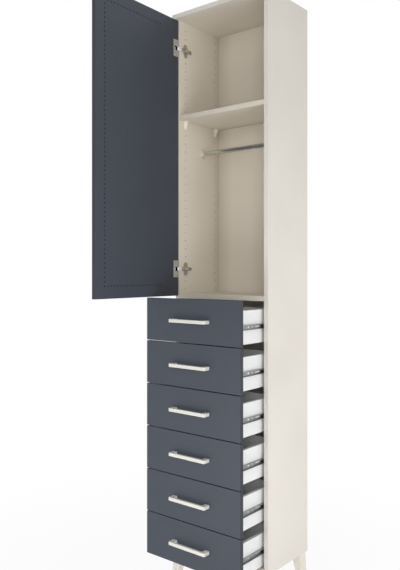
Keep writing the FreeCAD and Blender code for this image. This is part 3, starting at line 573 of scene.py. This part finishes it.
# %% Finish: plastics
def moulded(name, colour, roughness):
    """Moulded plastic with the grain of its mould."""
    material = finish(name, colour, roughness=roughness, specular=0.3)
    where = place_on_piece(material)
    texture = noise(material, where, 500.0)
    lighter = tuple(min(1.0, 1.3 * value + 0.001) for value in colour[:3]) + (1.0,)
    plug(material, clouded(material, texture, colour, lighter, share=0.4, low=0.4), "Base Color")
    emboss(material, texture, depth=0.00006, strength=0.5)
    return material


black_plastic = moulded("black_retainer_plastic", tone(10, 10, 11), 0.55)
milky_plastic = moulded("shelf_support_plastic", tone(232, 225, 210), 0.30)
cover("slide_retainers", black_plastic)
cover("shelf_supports", milky_plastic)
print("plastics:", black_plastic.name, milky_plastic.name)

# %% [markdown]
# ## Dowels and bolts
#
# Dowels join the boards and bolts hold the legs. They hardly show, but a reader who takes the cabinet
# apart finds beech and plain zinc, so they get real finishes too.

# %% Finish: hidden wood and bolts
BEECH, BEECH_FIBRE = tone(206, 170, 124), tone(170, 128, 84)
dowel_finish = finish("beech_dowel", BEECH, roughness=0.6)
where = place_on_piece(dowel_finish)
fibre = noise(dowel_finish, stretched(dowel_finish, where, (1.0, 1.0, 0.1)), 500.0, detail=4.0)
plug(dowel_finish, clouded(dowel_finish, fibre, BEECH, BEECH_FIBRE, share=1.0), "Base Color")
cover("carcass_dowels", dowel_finish)
for name in ("leg_bolts", "hinge_pins"):
    cover(name, screw_steel)
print("hidden pieces:", dowel_finish.name, screw_steel.name)


# %% [markdown]
# ## Handles with their screws
#
# A handle and its screws are one CAD node. We could cut them apart, but a mesh can carry two finishes:
# every face that lies behind the front belongs to a screw. The door's two screws are sunk and hidden
# under slate caps, and the drawers' screws show plain steel inside the boxes.

# %% Cover the handles
BEHIND_FRONT = 0.0005


def cover_screws(node_name, outer, screws, is_screw):
    """A handle and its screws share a node: faces that lie behind the front get the second finish."""
    cover(node_name, outer)
    mesh = nodes[node_name].data
    mesh.materials.append(screws)
    for polygon in mesh.polygons:
        polygon.material_index = int(is_screw(polygon.center))


screw_cap = moulded("slate_screw_cap", SLATE, 0.5)
cover_screws("door_handle", handle_finish, screw_cap,
             lambda place: (place - hinge_axis).dot(into_cabinet) > door_outer + BEHIND_FRONT)
front_outer_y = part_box("drawer_1_front")[0].y
for drawer in DRAWERS:
    cover_screws("drawer_%d_handle" % drawer, handle_finish, screw_steel,
                 lambda place: place.y > front_outer_y + BEHIND_FRONT)
print("handles covered:", 1 + len(DRAWERS))

# %% [markdown]
# ## Helpers for pressed and turned fittings
#
# In CAD a screw is two cylinders and a hinge plate is a flat cross, which is enough to drill holes by.
# The real ones are pressed from sheet or headed cold, so they have soft rims and cross recesses. We
# could cut those with booleans, but a fitting is mostly outlines at different heights, so we draw the
# outlines, stretch skins between them and close them with lids. Each fitting gets its own axes, which
# stand on the face that it is screwed to, and the CAD solids say where that is.

# %% Helpers: outlines
def circle(radius, centre=(0.0, 0.0), count=28):
    """A round outline."""
    steps = [2 * math.pi * step / count for step in range(count)]
    return [(centre[0] + radius * math.cos(a), centre[1] + radius * math.sin(a)) for a in steps]


def cross(reach, arm):
    """The outline of a cross recess, as wide as 2 * reach, with arms 2 * arm thick."""
    quarter = [(reach, -arm), (reach, arm), (arm, arm)]
    turns = ((1, 0), (0, 1), (-1, 0), (0, -1))
    return [(x * c - y * s, x * s + y * c) for c, s in turns for x, y in quarter]


def mirrored(side):
    """A whole outline from its upper side, given from one end to the other as (x, y, reach)."""
    return [(x, -y, reach) for x, y, reach in side] + list(reversed(side))


def softened(corners, steps=4):
    """An outline with soft corners. Each corner is (x, y, reach): its curve starts that far away."""
    points = []
    for index, (x, y, reach) in enumerate(corners):
        corner = Vector((x, y))
        start, end = [corner + (Vector(corners[other % len(corners)][:2]) - corner).normalized() * reach
                      for other in (index - 1, index + 1)]
        for step in range(steps + 1):
            t = step / steps
            points.append(start * (1 - t) ** 2 + corner * (2 * t * (1 - t)) + end * t ** 2)
    return points


def shrunk(outline, middle, across, up):
    """An outline drawn in towards a middle on its x axis, by a share across and a share up."""
    return [(middle + (x - middle) * across, y * up) for x, y in outline]


print("points in a circle:", len(circle(1.0)), "and in a cross recess:", len(cross(1.0, 0.2)))


# %% Helpers: skins and lids
def stand(foot, outward):
    """Axes for a fitting on an upright face: x across the face, y up, z straight out of it."""
    up = Vector((0, 0, 1))
    axes = Matrix((up.cross(outward), up, outward)).transposed().to_4x4()
    axes.translation = foot
    return axes


def ring(shape, axes, outline, height):
    """An outline as points of the shape, at a height over the face."""
    return [shape.verts.new(axes @ Vector((x, y, height))) for x, y in outline]


def skin(shape, rings, paint=0):
    """Quads between outlines that have equally many points. paint picks the material."""
    for low, high in zip(rings, rings[1:]):
        for index in range(len(low)):
            after = (index + 1) % len(low)
            shape.faces.new((low[index], low[after], high[after], high[index])).material_index = paint


def through(shape, axes, outline, sheet):
    """An outline on both faces of a sheet and the wall between them: a rim, or the wall of a hole."""
    faces = [ring(shape, axes, outline, height) for height in (0.0, sheet)]
    skin(shape, faces)
    return faces


def lid(shape, outline, holes=(), paint=0):
    """A flat face inside an outline. It leaves the holes open."""
    edges = [shape.edges.get(pair) or shape.edges.new(pair)
             for loop in (outline, *holes) for pair in zip(loop, loop[1:] + loop[:1])]
    made = bmesh.ops.triangle_fill(shape, edges=edges, use_beauty=True)
    for face in made["geom"]:
        if isinstance(face, bmesh.types.BMFace):
            face.material_index = paint


print("a fitting on the left side stands out along", stand(Vector(), Vector((1, 0, 0))).col[2][:3])


# %% Helpers: from shape to piece
RIM_ANGLE = 40


def smooth_by_angle(thing, degrees=30):
    """Smooth shading across shallow edges only, so boxes stay crisp and tubes look round."""
    for polygon in thing.data.polygons:
        polygon.use_smooth = True
    thing.data.set_sharp_from_angle(angle=math.radians(degrees))


def make_piece(name, shape, finishes, body, stands_for, rim=0.0):
    """Turns the finished shape into a piece that rides on a body and stands for a CAD node."""
    bmesh.ops.recalc_face_normals(shape, faces=shape.faces)
    mesh = bpy.data.meshes.new(name)
    shape.to_mesh(mesh)
    shape.free()
    piece = bpy.data.objects.new(name, mesh)
    bpy.context.scene.collection.objects.link(piece)
    for material in finishes:
        mesh.materials.append(material)
    if rim:
        bevel = piece.modifiers.new("soft_rim", "BEVEL")
        bevel.width, bevel.segments = rim, 2
        bevel.limit_method, bevel.angle_limit = "ANGLE", math.radians(RIM_ANGLE)
    smooth_by_angle(piece, RIM_ANGLE)
    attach(piece, body)
    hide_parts(stands_for)
    print(name, "rides on", body, "with", len(mesh.polygons), "faces")


print("rims are softened from", RIM_ANGLE, "degrees up")

# %% Helpers: asking the CAD solids
SAME_POINT = 0.00001


def solids_of(node_name):
    """The points of each separate solid in a CAD node."""
    shape = bmesh.new()
    shape.from_mesh(nodes[node_name].data)
    bmesh.ops.remove_doubles(shape, verts=shape.verts, dist=SAME_POINT)
    solids, seen = [], set()
    for first in shape.verts:
        if first in seen:
            continue
        seen.add(first)
        points, waiting = [], [first]
        while waiting:
            vertex = waiting.pop()
            points.append(vertex.co.copy())
            for edge in vertex.link_edges:
                other = edge.other_vert(vertex)
                if other not in seen:
                    seen.add(other)
                    waiting.append(other)
        solids.append(points)
    shape.free()
    return solids


def middle_of(points):
    """The middle of the box round some points."""
    return Vector([(min(p[axis] for p in points) + max(p[axis] for p in points)) / 2 for axis in range(3)])


print("hinge arms in the CAD:", len(solids_of("hinge_arms")))

# %% [markdown]
# ## Screws
#
# Every screw that shows is a low domed head with a cross recess. The recess is what makes a small
# bright dot read as a screw, so it is cut for real. The shank runs on into the board, as the CAD one
# does, with a short point. We turn each screw from a profile, a list of radius and height, as a lathe
# would, in shares of the head's own size, so that one profile serves three sizes.

# %% Turn one screw
# Share of the radius and share of the height: first the shank from its point, then the head.
SHANK_PROFILE = ((0.3, -1.0), (1.0, -0.82), (1.0, 0.0))
HEAD_PROFILE = ((1.0, 0.0), (1.0, 0.30), (0.95, 0.62), (0.84, 0.86), (0.70, 1.0))
# Top and floor of the recess: reach of the cross, half its arm, and height, as shares of the head.
RECESS_PROFILE = ((0.56, 0.15, 1.0), (0.34, 0.10, 0.15))


def turn_with_recess(shape, axes, profile, recess, count=28):
    """A turned solid with a cross recess in its top. profile is radius and height from below."""
    rings = [ring(shape, axes, circle(radius, count=count), height) for radius, height in profile]
    crosses = [ring(shape, axes, cross(reach, arm), height) for reach, arm, height in recess]
    skin(shape, rings)
    lid(shape, rings[0])
    lid(shape, rings[-1], [crosses[0]])
    skin(shape, crosses)
    lid(shape, crosses[1])


def turn_screw(shape, points, outward, head_radius, head_height, shank_radius):
    """Point, shank and domed head, where the points of a CAD screw are."""
    middle = middle_of(points)
    reach = [(point - middle).dot(outward) for point in points]
    foot = max(reach) - head_height
    length = foot - min(reach)
    profile = [(shank_radius * share, length * height) for share, height in SHANK_PROFILE]
    profile += [(head_radius * share, head_height * height) for share, height in HEAD_PROFILE]
    recess = [(head_radius * share, head_radius * arm, head_height * height)
              for share, arm, height in RECESS_PROFILE]
    turn_with_recess(shape, stand(middle + outward * foot, outward), profile, recess)


print("steps in the profile of a screw:", len(SHANK_PROFILE + HEAD_PROFILE))


# %% Build all the screws
def build_screws(name, node_name, body, material, outward_of, **sizes):
    """One piece with a screw for each CAD solid of a node."""
    shape = bmesh.new()
    for points in solids_of(node_name):
        turn_screw(shape, points, outward_of(middle_of(points)), **sizes)
    make_piece(name, shape, [material], body, node_name)


def to_the_middle(place):
    """Away from the side panel that the fitting is screwed to."""
    return Vector((1, 0, 0)) if place.x < middle_x else Vector((-1, 0, 0))


# The arm clamp screws get a darker steel tone than the other screws.
dark_clamp_steel = plated_steel("dark_clamp_screw", tone(120, 116, 108), 0.32)
build_screws("cross_head_wood_screws", "wood_screws", "carcass", screw_steel, to_the_middle,
             head_radius=0.003, head_height=0.0016, shank_radius=0.0019)
build_screws("arm_clamp_screws", "hinge_arm_screws", "carcass", dark_clamp_steel, to_the_middle,
             head_radius=0.004, head_height=0.0016, shank_radius=0.0024)
build_screws("cup_fixing_screws", "hinge_cup_screws", "door", screw_steel, lambda place: into_cabinet,
             head_radius=0.00325, head_height=0.0014, shank_radius=0.0016)

# %% [markdown]
# ## The hinges
#
# A concealed hinge is three pressings. The cup sits in a round bore of the door, and its flange is
# screwed to the door's face. The arm reaches out of the cup, bends over the edge of the panel and is
# clamped to the mounting plate, whose two wings are screwed into the row of shelf holes. We draw each
# from the point where the panel's face meets the front edge, or, on the door, from its inner face.

# %% Read the places of the hinges
hinge_heights = sorted(middle_of(points).z for points in solids_of("hinge_mounting_plates"))
panel_axes = [stand(Vector((inner_left, front_y, z)), Vector((1, 0, 0))) for z in hinge_heights]
door_axes = [stand(Vector((hinge_axis.x, hinge_axis.y, z)) + into_cabinet * door_inner, into_cabinet)
             for z in hinge_heights]
axle_in, axle_out = hinge_axis.y - front_y, hinge_axis.x - inner_left
print("hinges at", [round(z, 3) for z in hinge_heights], "axle", round(axle_in, 4), round(axle_out, 4))

# %% [markdown]
# ## Mounting plates
#
# A mounting plate is a dull nickel cross: two thin wings that taper to soft tips, and a rail across
# them that the arm slides on. The wings are one outline with two screw holes, stretched to the sheet's
# thickness. The rail is a second outline on top, drawn in a little at its upper edge, as a press leaves it.

# %% Press the mounting plates
WING_SHEET = 0.0015
# Half of the wings' corners, across, up and reach. Half a turn gives the other half.
WING_CORNERS = [(-0.0092, -0.026, 0.006), (0.0092, -0.026, 0.006),
                (0.0120, -0.009, 0.004), (0.0120, 0.009, 0.004)]
WING_SCREW_OUT, WING_SCREW_HOLE = 0.016, 0.0022
# One side of the rail from its front end: place in, half the width.
RAIL_SIDE = [(0.0130, 0.0), (0.0135, 0.0052), (0.0200, 0.0055),
             (0.0700, 0.0055), (0.0735, 0.0045), (0.0740, 0.0)]
RAIL_MIDDLE, RAIL_SHRINK, RAIL_EDGE = 0.0435, (0.985, 0.92), 0.0004
rail_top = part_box("hinge_mounting_plates")[1].x - inner_left
plate_screw = min((middle_of(points) for points in solids_of("wood_screws")),
                  key=lambda place: abs(place.z - hinge_heights[0]))
row_in = plate_screw.y - front_y


def press_wings(shape, axes):
    """Two wings in one thin sheet, with their screw holes."""
    corners = WING_CORNERS + [(-x, -y, reach) for x, y, reach in WING_CORNERS]
    outline = softened([(row_in + x, y, reach) for x, y, reach in corners])
    rim = through(shape, axes, outline, WING_SHEET)
    spots = [(row_in, side * WING_SCREW_OUT) for side in (-1, 1)]
    holes = [through(shape, axes, circle(WING_SCREW_HOLE, spot), WING_SHEET) for spot in spots]
    for level in (0, 1):
        lid(shape, rim[level], [hole[level] for hole in holes])


def press_rail(shape, axes):
    """The rail that the arm slides on."""
    foot = RAIL_SIDE + [(x, -y) for x, y in reversed(RAIL_SIDE[1:-1])]
    upper = shrunk(foot, RAIL_MIDDLE, *RAIL_SHRINK)
    rings = [ring(shape, axes, outline, height)
             for outline, height in ((foot, 0.0), (foot, rail_top - RAIL_EDGE), (upper, rail_top))]
    skin(shape, rings)
    lid(shape, rings[0])
    lid(shape, rings[-1])


plate_finish = plated_steel("nickel_wing_plate", tone(186, 180, 166), 0.38, metallic=0.6)
shape = bmesh.new()
for axes in panel_axes:
    press_wings(shape, axes)
    press_rail(shape, axes)
make_piece("winged_mounting_plates", shape, [plate_finish], "carcass",
           "hinge_mounting_plates", rim=0.0003)

# %% [markdown]
# ## Hinge arms
#
# An arm starts inside the cup, painted dark there as painted shade, bends over the edge of the panel as a
# bright nickel strap painted near white as a painted highlight, and runs into a dull hood that covers the
# rail. It is one channel whose section grows, so we place sections along its path and stretch a skin over
# them. Round the bend a section turns about the bend's centre; along the panel it stands upright and only
# its top and width change. Three finishes share the skin.

# %% Draw the section of an arm
CROWN = 0.0002
# One side of the section from its foot up: share of half the width, share of the height.
CHANNEL_SIDE = ((1.0, 0.0), (1.0, 0.62), (0.86, 0.88), (0.55, 1.0))


def channel(half, base, top):
    """Flat underside, upright walls, soft shoulders and a crowned top, as (y, z)."""
    left = [(-half * across, base + (top - base) * up) for across, up in CHANNEL_SIDE]
    return left + [(0.0, top + CROWN)] + [(-y, z) for y, z in reversed(left)]


print("points in a section of an arm:", len(channel(1.0, 0.0, 1.0)))

# %% Lay out the path of an arm
HALF_SHEET = 0.001
# Radius of the bend, and how far its centre stands out of the panel's face.
BEND, BEND_OUT = 0.0026, 0.0002
BEND_ANGLES = (90, 75, 60, 47, 35)
bend_in = axle_in + BEND
# Down the path: place in, place out, turn in degrees. Then half the width at each.
knee = [(axle_in, axle_out, 90)]
for angle in BEND_ANGLES:
    turn = math.radians(angle)
    knee.append((bend_in - BEND * math.sin(turn), BEND_OUT + BEND * math.cos(turn), angle))
knee += [(-0.0086, 0.0035, 18), (-0.0050, 0.0041, 10), (-0.0015, 0.0045, 6)]
KNEE_HALVES = (0.0040, 0.0042, 0.0044, 0.0046, 0.0049, 0.0054, 0.0068, 0.0074, 0.0075)
# Along the panel: place in, height of the top, half the width.
HOOD_STATIONS = ((0.001, 0.0061, 0.0075), (0.006, 0.0073, 0.0075), (0.012, 0.0086, 0.0073),
                 (0.018, 0.0095, 0.0069), (0.024, 0.0098, 0.0065), (0.058, 0.0098, 0.0065),
                 (0.060, 0.0090, 0.0064), (0.061, 0.0072, 0.0063), (0.064, 0.0045, 0.0060))
HOOD_UNDERSIDE = 0.0025
print("sections down an arm:", len(knee) + len(HOOD_STATIONS))

# %% Bend one arm
# Paint slots: the strap's painted highlight, the dull hood, and painted shade on the link inside the cup.
HIGHLIGHT_PAINT, DULL, CUP_SHADE_PAINT = 0, 1, 2
highlight_from, hood_from = 4, len(knee) + 1


def bend_arm(shape, axes):
    """Out of the cup, round the bend, up the slope and along the panel, as one channel."""
    rings = []
    for (along, out, angle), half in zip(knee, KNEE_HALVES):
        turn = math.radians(angle)
        outside = Vector((-math.sin(turn), 0, math.cos(turn)))
        rings.append([shape.verts.new(axes @ (Vector((along, y, out)) + outside * z))
                      for y, z in channel(half, -HALF_SHEET, HALF_SHEET - CROWN)])
    for along, top, half in HOOD_STATIONS:
        section = channel(half, HOOD_UNDERSIDE, top)
        rings.append([shape.verts.new(axes @ Vector((along, y, z))) for y, z in section])
    skin(shape, rings[:highlight_from + 1], paint=CUP_SHADE_PAINT)
    skin(shape, rings[highlight_from:hood_from + 1], paint=HIGHLIGHT_PAINT)
    skin(shape, rings[hood_from:], paint=DULL)
    lid(shape, rings[0], paint=CUP_SHADE_PAINT)
    lid(shape, rings[-1], paint=DULL)


print("bright from section", highlight_from, "and dull from section", hood_from)

# %% Build the arms, with the eye and the adjusting screw
EYE_RADIUS, EYE_BORE, EYE_HEIGHT, EYE_POINTS = 0.002, 0.0011, 0.012, 20
ADJUSTER_PLACE = (0.031, 0.0, 0.0094)
ADJUSTER_PROFILE = ((0.0029, -0.002), (0.0029, 0.0008), (0.0025, 0.0011))
ADJUSTER_RECESS = ((0.0018, 0.0004, 0.0011), (0.0013, 0.0003, 0.0003))


def turn_eye(shape, axes):
    """The rolled eye round the axle, and the small side adjusting screw in the hood."""
    eye = Matrix.Translation(axes @ Vector((axle_in, -EYE_HEIGHT / 2, axle_out)))
    wall, bore = [through(shape, eye, circle(radius, count=EYE_POINTS), EYE_HEIGHT)
                  for radius in (EYE_RADIUS, EYE_BORE)]
    for end in (0, 1):
        lid(shape, wall[end], [bore[end]])
    adjuster = axes @ Matrix.Translation(ADJUSTER_PLACE)
    turn_with_recess(shape, adjuster, ADJUSTER_PROFILE, ADJUSTER_RECESS, EYE_POINTS)


shape = bmesh.new()
for axes in panel_axes:
    bend_arm(shape, axes)
    turn_eye(shape, axes)
# The strap is painted near white as a painted highlight; the link in the cup is painted dark as painted
# shade.
arm_painted_highlight = plated_steel("hinge_arm_painted_highlight", tone(252, 252, 252), 0.24, metallic=0.3)
link_painted_shade = plated_steel("hinge_link_painted_shade", tone(30, 29, 28), 0.5)
make_piece("bent_hinge_arms", shape, [arm_painted_highlight, plate_finish, link_painted_shade], "carcass",
           "hinge_arms", rim=0.0003)

# %% [markdown]
# ## Hinge cups
#
# A cup is deep drawn from one sheet: a flange with ears beside the arm, a mouth and a round bowl. The
# flange's two faces are outlines with holes, the bowl hangs from the lower one, and the wall of the
# mouth from the upper one. That wall and its floor are painted near black, as painted shade inside the cup.

# %% Draw the cups
CUP_ACROSS, FLANGE_SHEET = -0.009, 0.0012
# One side of the flange, then of the mouth: place across, place up, reach of the soft corner.
FLANGE_SIDE = ((-0.0220, 0.0330, 0.0025), (0.0040, 0.0330, 0.0025), (0.0040, 0.0180, 0.0005),
               (0.0064, 0.0172, 0.0008), (0.0064, 0.0112, 0.0008), (0.0040, 0.0104, 0.0005))
MOUTH_SIDE = ((-0.0155, 0.0082, 0.0015), (0.0032, 0.0082, 0.0052))
# The bowl outside as radius and height, and the wall inside as share of the mouth and height.
BOWL_POINTS, BOWL_PROFILE = 40, ((0.0129, 0.0), (0.0129, -0.0120), (0.0121, -0.0130))
INSIDE_PROFILE = ((0.985, 0.0004), (0.96, -0.0110), (0.86, -0.0122))
FLANGE_SCREW_HOLE, FLANGE_SCREW_OUT = 0.0018, 0.024
STEEL, INSIDE = 0, 1


def draw_cup(shape, axes):
    """Flange, ears beside the arm, mouth, and the deep drawn bowl, painted dark inside as shade."""
    low, high = through(shape, axes, softened(mirrored(FLANGE_SIDE)), FLANGE_SHEET)
    bowl = [ring(shape, axes, circle(radius, (CUP_ACROSS, 0.0), BOWL_POINTS), height)
            for radius, height in BOWL_PROFILE]
    mouth = softened(mirrored(MOUTH_SIDE), steps=6)
    lip = ring(shape, axes, mouth, FLANGE_SHEET)
    inside = [ring(shape, axes, shrunk(mouth, CUP_ACROSS, share, share), height)
              for share, height in INSIDE_PROFILE]
    skin(shape, bowl, paint=STEEL)
    lid(shape, bowl[-1], paint=STEEL)
    skin(shape, [lip, inside[0]], paint=STEEL)
    skin(shape, inside, paint=INSIDE)
    lid(shape, inside[-1], paint=INSIDE)
    spots = [(CUP_ACROSS, side * FLANGE_SCREW_OUT) for side in (-1, 1)]
    holes = [through(shape, axes, circle(FLANGE_SCREW_HOLE, spot), FLANGE_SHEET) for spot in spots]
    lid(shape, low, [bowl[0]] + [hole[0] for hole in holes])
    lid(shape, high, [lip] + [hole[1] for hole in holes])


shape = bmesh.new()
for axes in door_axes:
    draw_cup(shape, axes)
cup_finish = plated_steel("nickel_hinge_cup", tone(206, 205, 200), 0.36, metallic=0.6)
# Painted shade: the inside of the cup is near black.
cup_painted_shade = moulded("cup_inside_painted_shade", tone(12, 12, 13), 0.6)
make_piece("drawn_hinge_cups", shape, [cup_finish, cup_painted_shade], "door", "hinge_cups")

# %% [markdown]
# ## The drawer slides
#
# The half of a slide that is screwed to the drawer is a rolled channel. Its two corners are rounded
# into tracks for the balls, and its web has punched holes and a slot, through which the white box
# shows. We draw the cross section once as an outer and an inner line, and run it along the drawer. The
# web is the one flat face with holes, so it is left out of the run and closed with a lid.

# %% Draw the section of the slides
SLIDE_SHEET, TRACK = 0.001, 0.002
TRACK_ANGLES = (0, 22.5, 45, 67.5, 90)
one_slide = solids_of("drawer_1_slide_members")[0]
slide_half = (max(p.z for p in one_slide) - min(p.z for p in one_slide)) / 2
slide_depth = max(p.x for p in one_slide) - min(p.x for p in one_slide)


def slide_section(offset):
    """One side of the rolled sheet, as (y, z). offset is how far it lies inside the outer face."""
    half, radius = slide_half - offset, TRACK - offset
    turns = [math.radians(angle) for angle in TRACK_ANGLES]
    curve = [(half - radius * (1 - math.cos(turn)), offset + radius * (1 - math.sin(turn)))
             for turn in turns]
    upper = [(half, slide_depth)] + curve
    return upper + [(-y, z) for y, z in reversed(upper)]


print("slides", round(2000 * slide_half, 1), "mm high and", round(1000 * slide_depth, 1), "mm deep")

# %% Roll and punch the slides
# Start and end of each hole from the front of the slide, and half its height.
PUNCHED = ((0.0655, 0.0690, 0.0040), (0.0895, 0.0915, 0.0027), (0.1100, 0.1340, 0.0020))
SLOT_STEPS = 10


def slot_outline(start, end, half):
    """A slot with round ends, along x."""
    turns = [math.pi * step / SLOT_STEPS for step in range(SLOT_STEPS + 1)]
    return ([(end + half * math.sin(a), -half * math.cos(a)) for a in turns]
            + [(start - half * math.sin(a), half * math.cos(a)) for a in turns])


def roll_slide(shape, axes, length, along):
    """A channel from its front end. Holes are measured from there, and along is the way back."""
    outer, inner = slide_section(0.0), slide_section(SLIDE_SHEET)
    web = len(outer) // 2 - 1
    ends = [[[shape.verts.new(axes @ Vector((x, y, z))) for y, z in section] for section in (outer, inner)]
            for x in (0.0, along * length)]
    (front_outer, front_inner), (back_outer, back_inner) = ends
    for here in range(len(outer) - 1):
        after = here + 1
        if here != web:
            shape.faces.new((front_outer[here], front_outer[after], back_outer[after], back_outer[here]))
            shape.faces.new((front_inner[here], back_inner[here], back_inner[after], front_inner[after]))
        for end_outer, end_inner in ends:
            shape.faces.new((end_outer[here], end_inner[here], end_inner[after], end_outer[after]))
    for tip in (0, -1):
        shape.faces.new((front_outer[tip], back_outer[tip], back_inner[tip], front_inner[tip]))
    holes = [through(shape, axes, [(along * x, y) for x, y in slot_outline(*hole)], SLIDE_SHEET)
             for hole in PUNCHED]
    for level, (front_end, back_end) in enumerate(((front_outer, back_outer), (front_inner, back_inner))):
        lid(shape, [front_end[web], front_end[web + 1], back_end[web + 1], back_end[web]],
            [hole[level] for hole in holes])


print("holes in the web of a slide:", len(PUNCHED))

# %% Build the slides of every drawer
for drawer in DRAWERS:
    name = "drawer_%d_slide_members" % drawer
    shape = bmesh.new()
    for points in solids_of(name):
        middle = middle_of(points)
        outward = -to_the_middle(middle)
        front_end = min(point.y for point in points)
        web_at = Vector((middle.x, front_end, middle.z)) - outward * slide_depth / 2
        axes = stand(web_at, outward)
        along = 1 if (axes.to_3x3() @ Vector((1, 0, 0))).y > 0 else -1
        roll_slide(shape, axes, max(point.y for point in points) - front_end, along)
    make_piece("drawer_%d_rolled_slides" % drawer, shape, [zinc], "drawer_%d" % drawer, name)

# %% [markdown]
# ## The studio floor
#
# The cabinet stands in an even white studio. The floor is real, so it catches a shadow and throws
# light back up, which is why the lower boards look brighter than the upper ones. Lighting a floor until
# it is white would drown the cabinet in light. Instead the floor shows plain white to the rays that see
# it, or that see it in metal, more and more with the distance, and stays a pale matt floor to all others.

# %% Build the floor
FLOOR_REACH = 9.0
corners = [(x * FLOOR_REACH, y * FLOOR_REACH, 0) for x, y in ((-1, -1), (1, -1), (1, 1), (-1, 1))]
floor_mesh = bpy.data.meshes.new("studio_floor")
floor_mesh.from_pydata(corners, [], [(0, 1, 2, 3)])
studio_floor = bpy.data.objects.new("studio_floor", floor_mesh)
bpy.context.scene.collection.objects.link(studio_floor)
print("floor", 2 * FLOOR_REACH, "m wide")

# %% Whiten the floor
WHITE = (1, 1, 1, 1)
FLOOR_GREY = (0.92, 0.92, 0.92, 1.0)
SEEN_OR_MIRRORED = ("Is Camera Ray", "Is Glossy Ray", "Is Transmission Ray")
NEAR_DISTANCE, FAR_DISTANCE = 0.4, 1.6
NEAR_WHITE, FAR_WHITE = 0.88, 1.0


def whiten(owner, lit, white, share):
    """Blends from the lit shader to a white one, for the rays that see or mirror the studio."""
    rays = add(owner, "ShaderNodeLightPath").outputs
    seen = any_of(owner, *[rays[kind] for kind in SEEN_OR_MIRRORED])
    blend = add(owner, "ShaderNodeMixShader", {0: all_of(owner, share, seen), 1: lit, 2: white})
    output = next(node for node in owner.node_tree.nodes if node.type.startswith("OUTPUT"))
    fill_socket(owner, output.inputs["Surface"], blend.outputs[0])


floor_finish = finish("studio_floor_white", FLOOR_GREY, roughness=0.9, specular=0.1)
where = place_on_piece(floor_finish)
emboss(floor_finish, noise(floor_finish, where, 400.0), depth=0.0001, strength=0.2)
glow = add(floor_finish, "ShaderNodeEmission", {"Color": WHITE, "Strength": 1.0})
away = add(floor_finish, "ShaderNodeVectorMath", {0: where}, operation="LENGTH").outputs["Value"]
share = spread(floor_finish, away, NEAR_DISTANCE, FAR_DISTANCE, NEAR_WHITE, FAR_WHITE)
whiten(floor_finish, surface_of(floor_finish).outputs[0], glow.outputs[0], share)
floor_mesh.materials.append(floor_finish)
print("the floor shows", NEAR_WHITE, "to", FAR_WHITE, "of plain white")

# %% [markdown]
# ## The world
#
# The world is the light that comes from all the walls of the studio at once. It fills the shadows, so it
# stays weak and a touch warm. A background as weak as that would look grey, so the rays that see it get
# plain white here too.

# %% Light the world
FILL_COLOUR, FILL_STRENGTH = (1.0, 0.995, 0.985, 1.0), 0.47
world = bpy.data.worlds.new("studio_world")
bpy.context.scene.world = world
world.use_nodes = True
fill_light = next(node for node in world.node_tree.nodes if node.type == "BACKGROUND")
fill_light.inputs["Color"].default_value = FILL_COLOUR
fill_light.inputs["Strength"].default_value = FILL_STRENGTH
white_walls = add(world, "ShaderNodeBackground", {"Color": WHITE, "Strength": 1.0})
whiten(world, fill_light.outputs[0], white_walls.outputs[0], share=1.0)
print("fill light", FILL_STRENGTH)

# %% [markdown]
# ## The lamps
#
# Large square lamps give soft edges to every shadow. Three stand on the camera's side: by the eye, above
# it and straight in front. Two light the right side, and one at floor level reaches the legs. The last
# three, on the left, behind and above, keep the cabinet readable from every other side.

# %% Hang the lamps
# Name: place, target, width in metres, power in watts.
LAMPS = {
    "front": ((0.0, -3.0, 0.75), (0.2, 0.1, 0.7), 1.4, 3),
    "right": ((3.2, -0.9, 0.75), (0.4, 0.1, 0.7), 1.4, 15),
    "by_the_eye": ((1.95, -2.1, 1.3), (0.3, 0.1, 1.0), 0.7, 14),
    "above_the_eye": ((1.9, -2.2, 2.3), (0.3, 0.1, 1.4), 1.0, 9),
    "low_right": ((2.2, -0.4, 0.2), (0.4, 0.1, 0.35), 1.2, 10),
    "toe": ((0.2, -1.3, 0.12), (0.2, 0.0, 0.2), 1.0, 9),
    "left": ((-3.0, 0.25, 1.15), (0.0, 0.15, 1.1), 1.8, 20),
    "behind": ((0.5, 3.3, 1.3), (0.2, 0.3, 1.1), 1.8, 22),
    "above": ((0.2, 0.1, 4.2), (0.2, 0.1, 2.2), 1.6, 14),
}


def soft_lamp(name, place, target, size, power):
    """A square lamp that faces a target point."""
    data = bpy.data.lights.new(name, "AREA")
    data.shape = "SQUARE"
    data.size = size
    data.energy = power
    lamp = bpy.data.objects.new(name, data)
    lamp.location = place
    lamp.rotation_euler = (Vector(target) - Vector(place)).to_track_quat("-Z", "Y").to_euler()
    bpy.context.scene.collection.objects.link(lamp)


for name, how in LAMPS.items():
    soft_lamp("lamp_" + name, *how)
print("lamps:", len(LAMPS), "of", sum(how[-1] for how in LAMPS.values()), "W together")

# %% [markdown]
# ## Colour handling
#
# The Standard view shows a colour as it was written. Film-like views would shift the cream and the
# slate, so we don't use them.

# %% Set the view
bpy.context.scene.view_settings.view_transform = "Standard"
print("view:", bpy.context.scene.view_settings.view_transform)

# %% [markdown]
# ## The last step
#
# CAD meshes come with flat facets, so tubes, heads and bores look cut with a knife. Smooth shading would
# wash out the boards, and we shade across shallow edges only.

# %% Shade the CAD meshes
for node in nodes.values():
    smooth_by_angle(node)
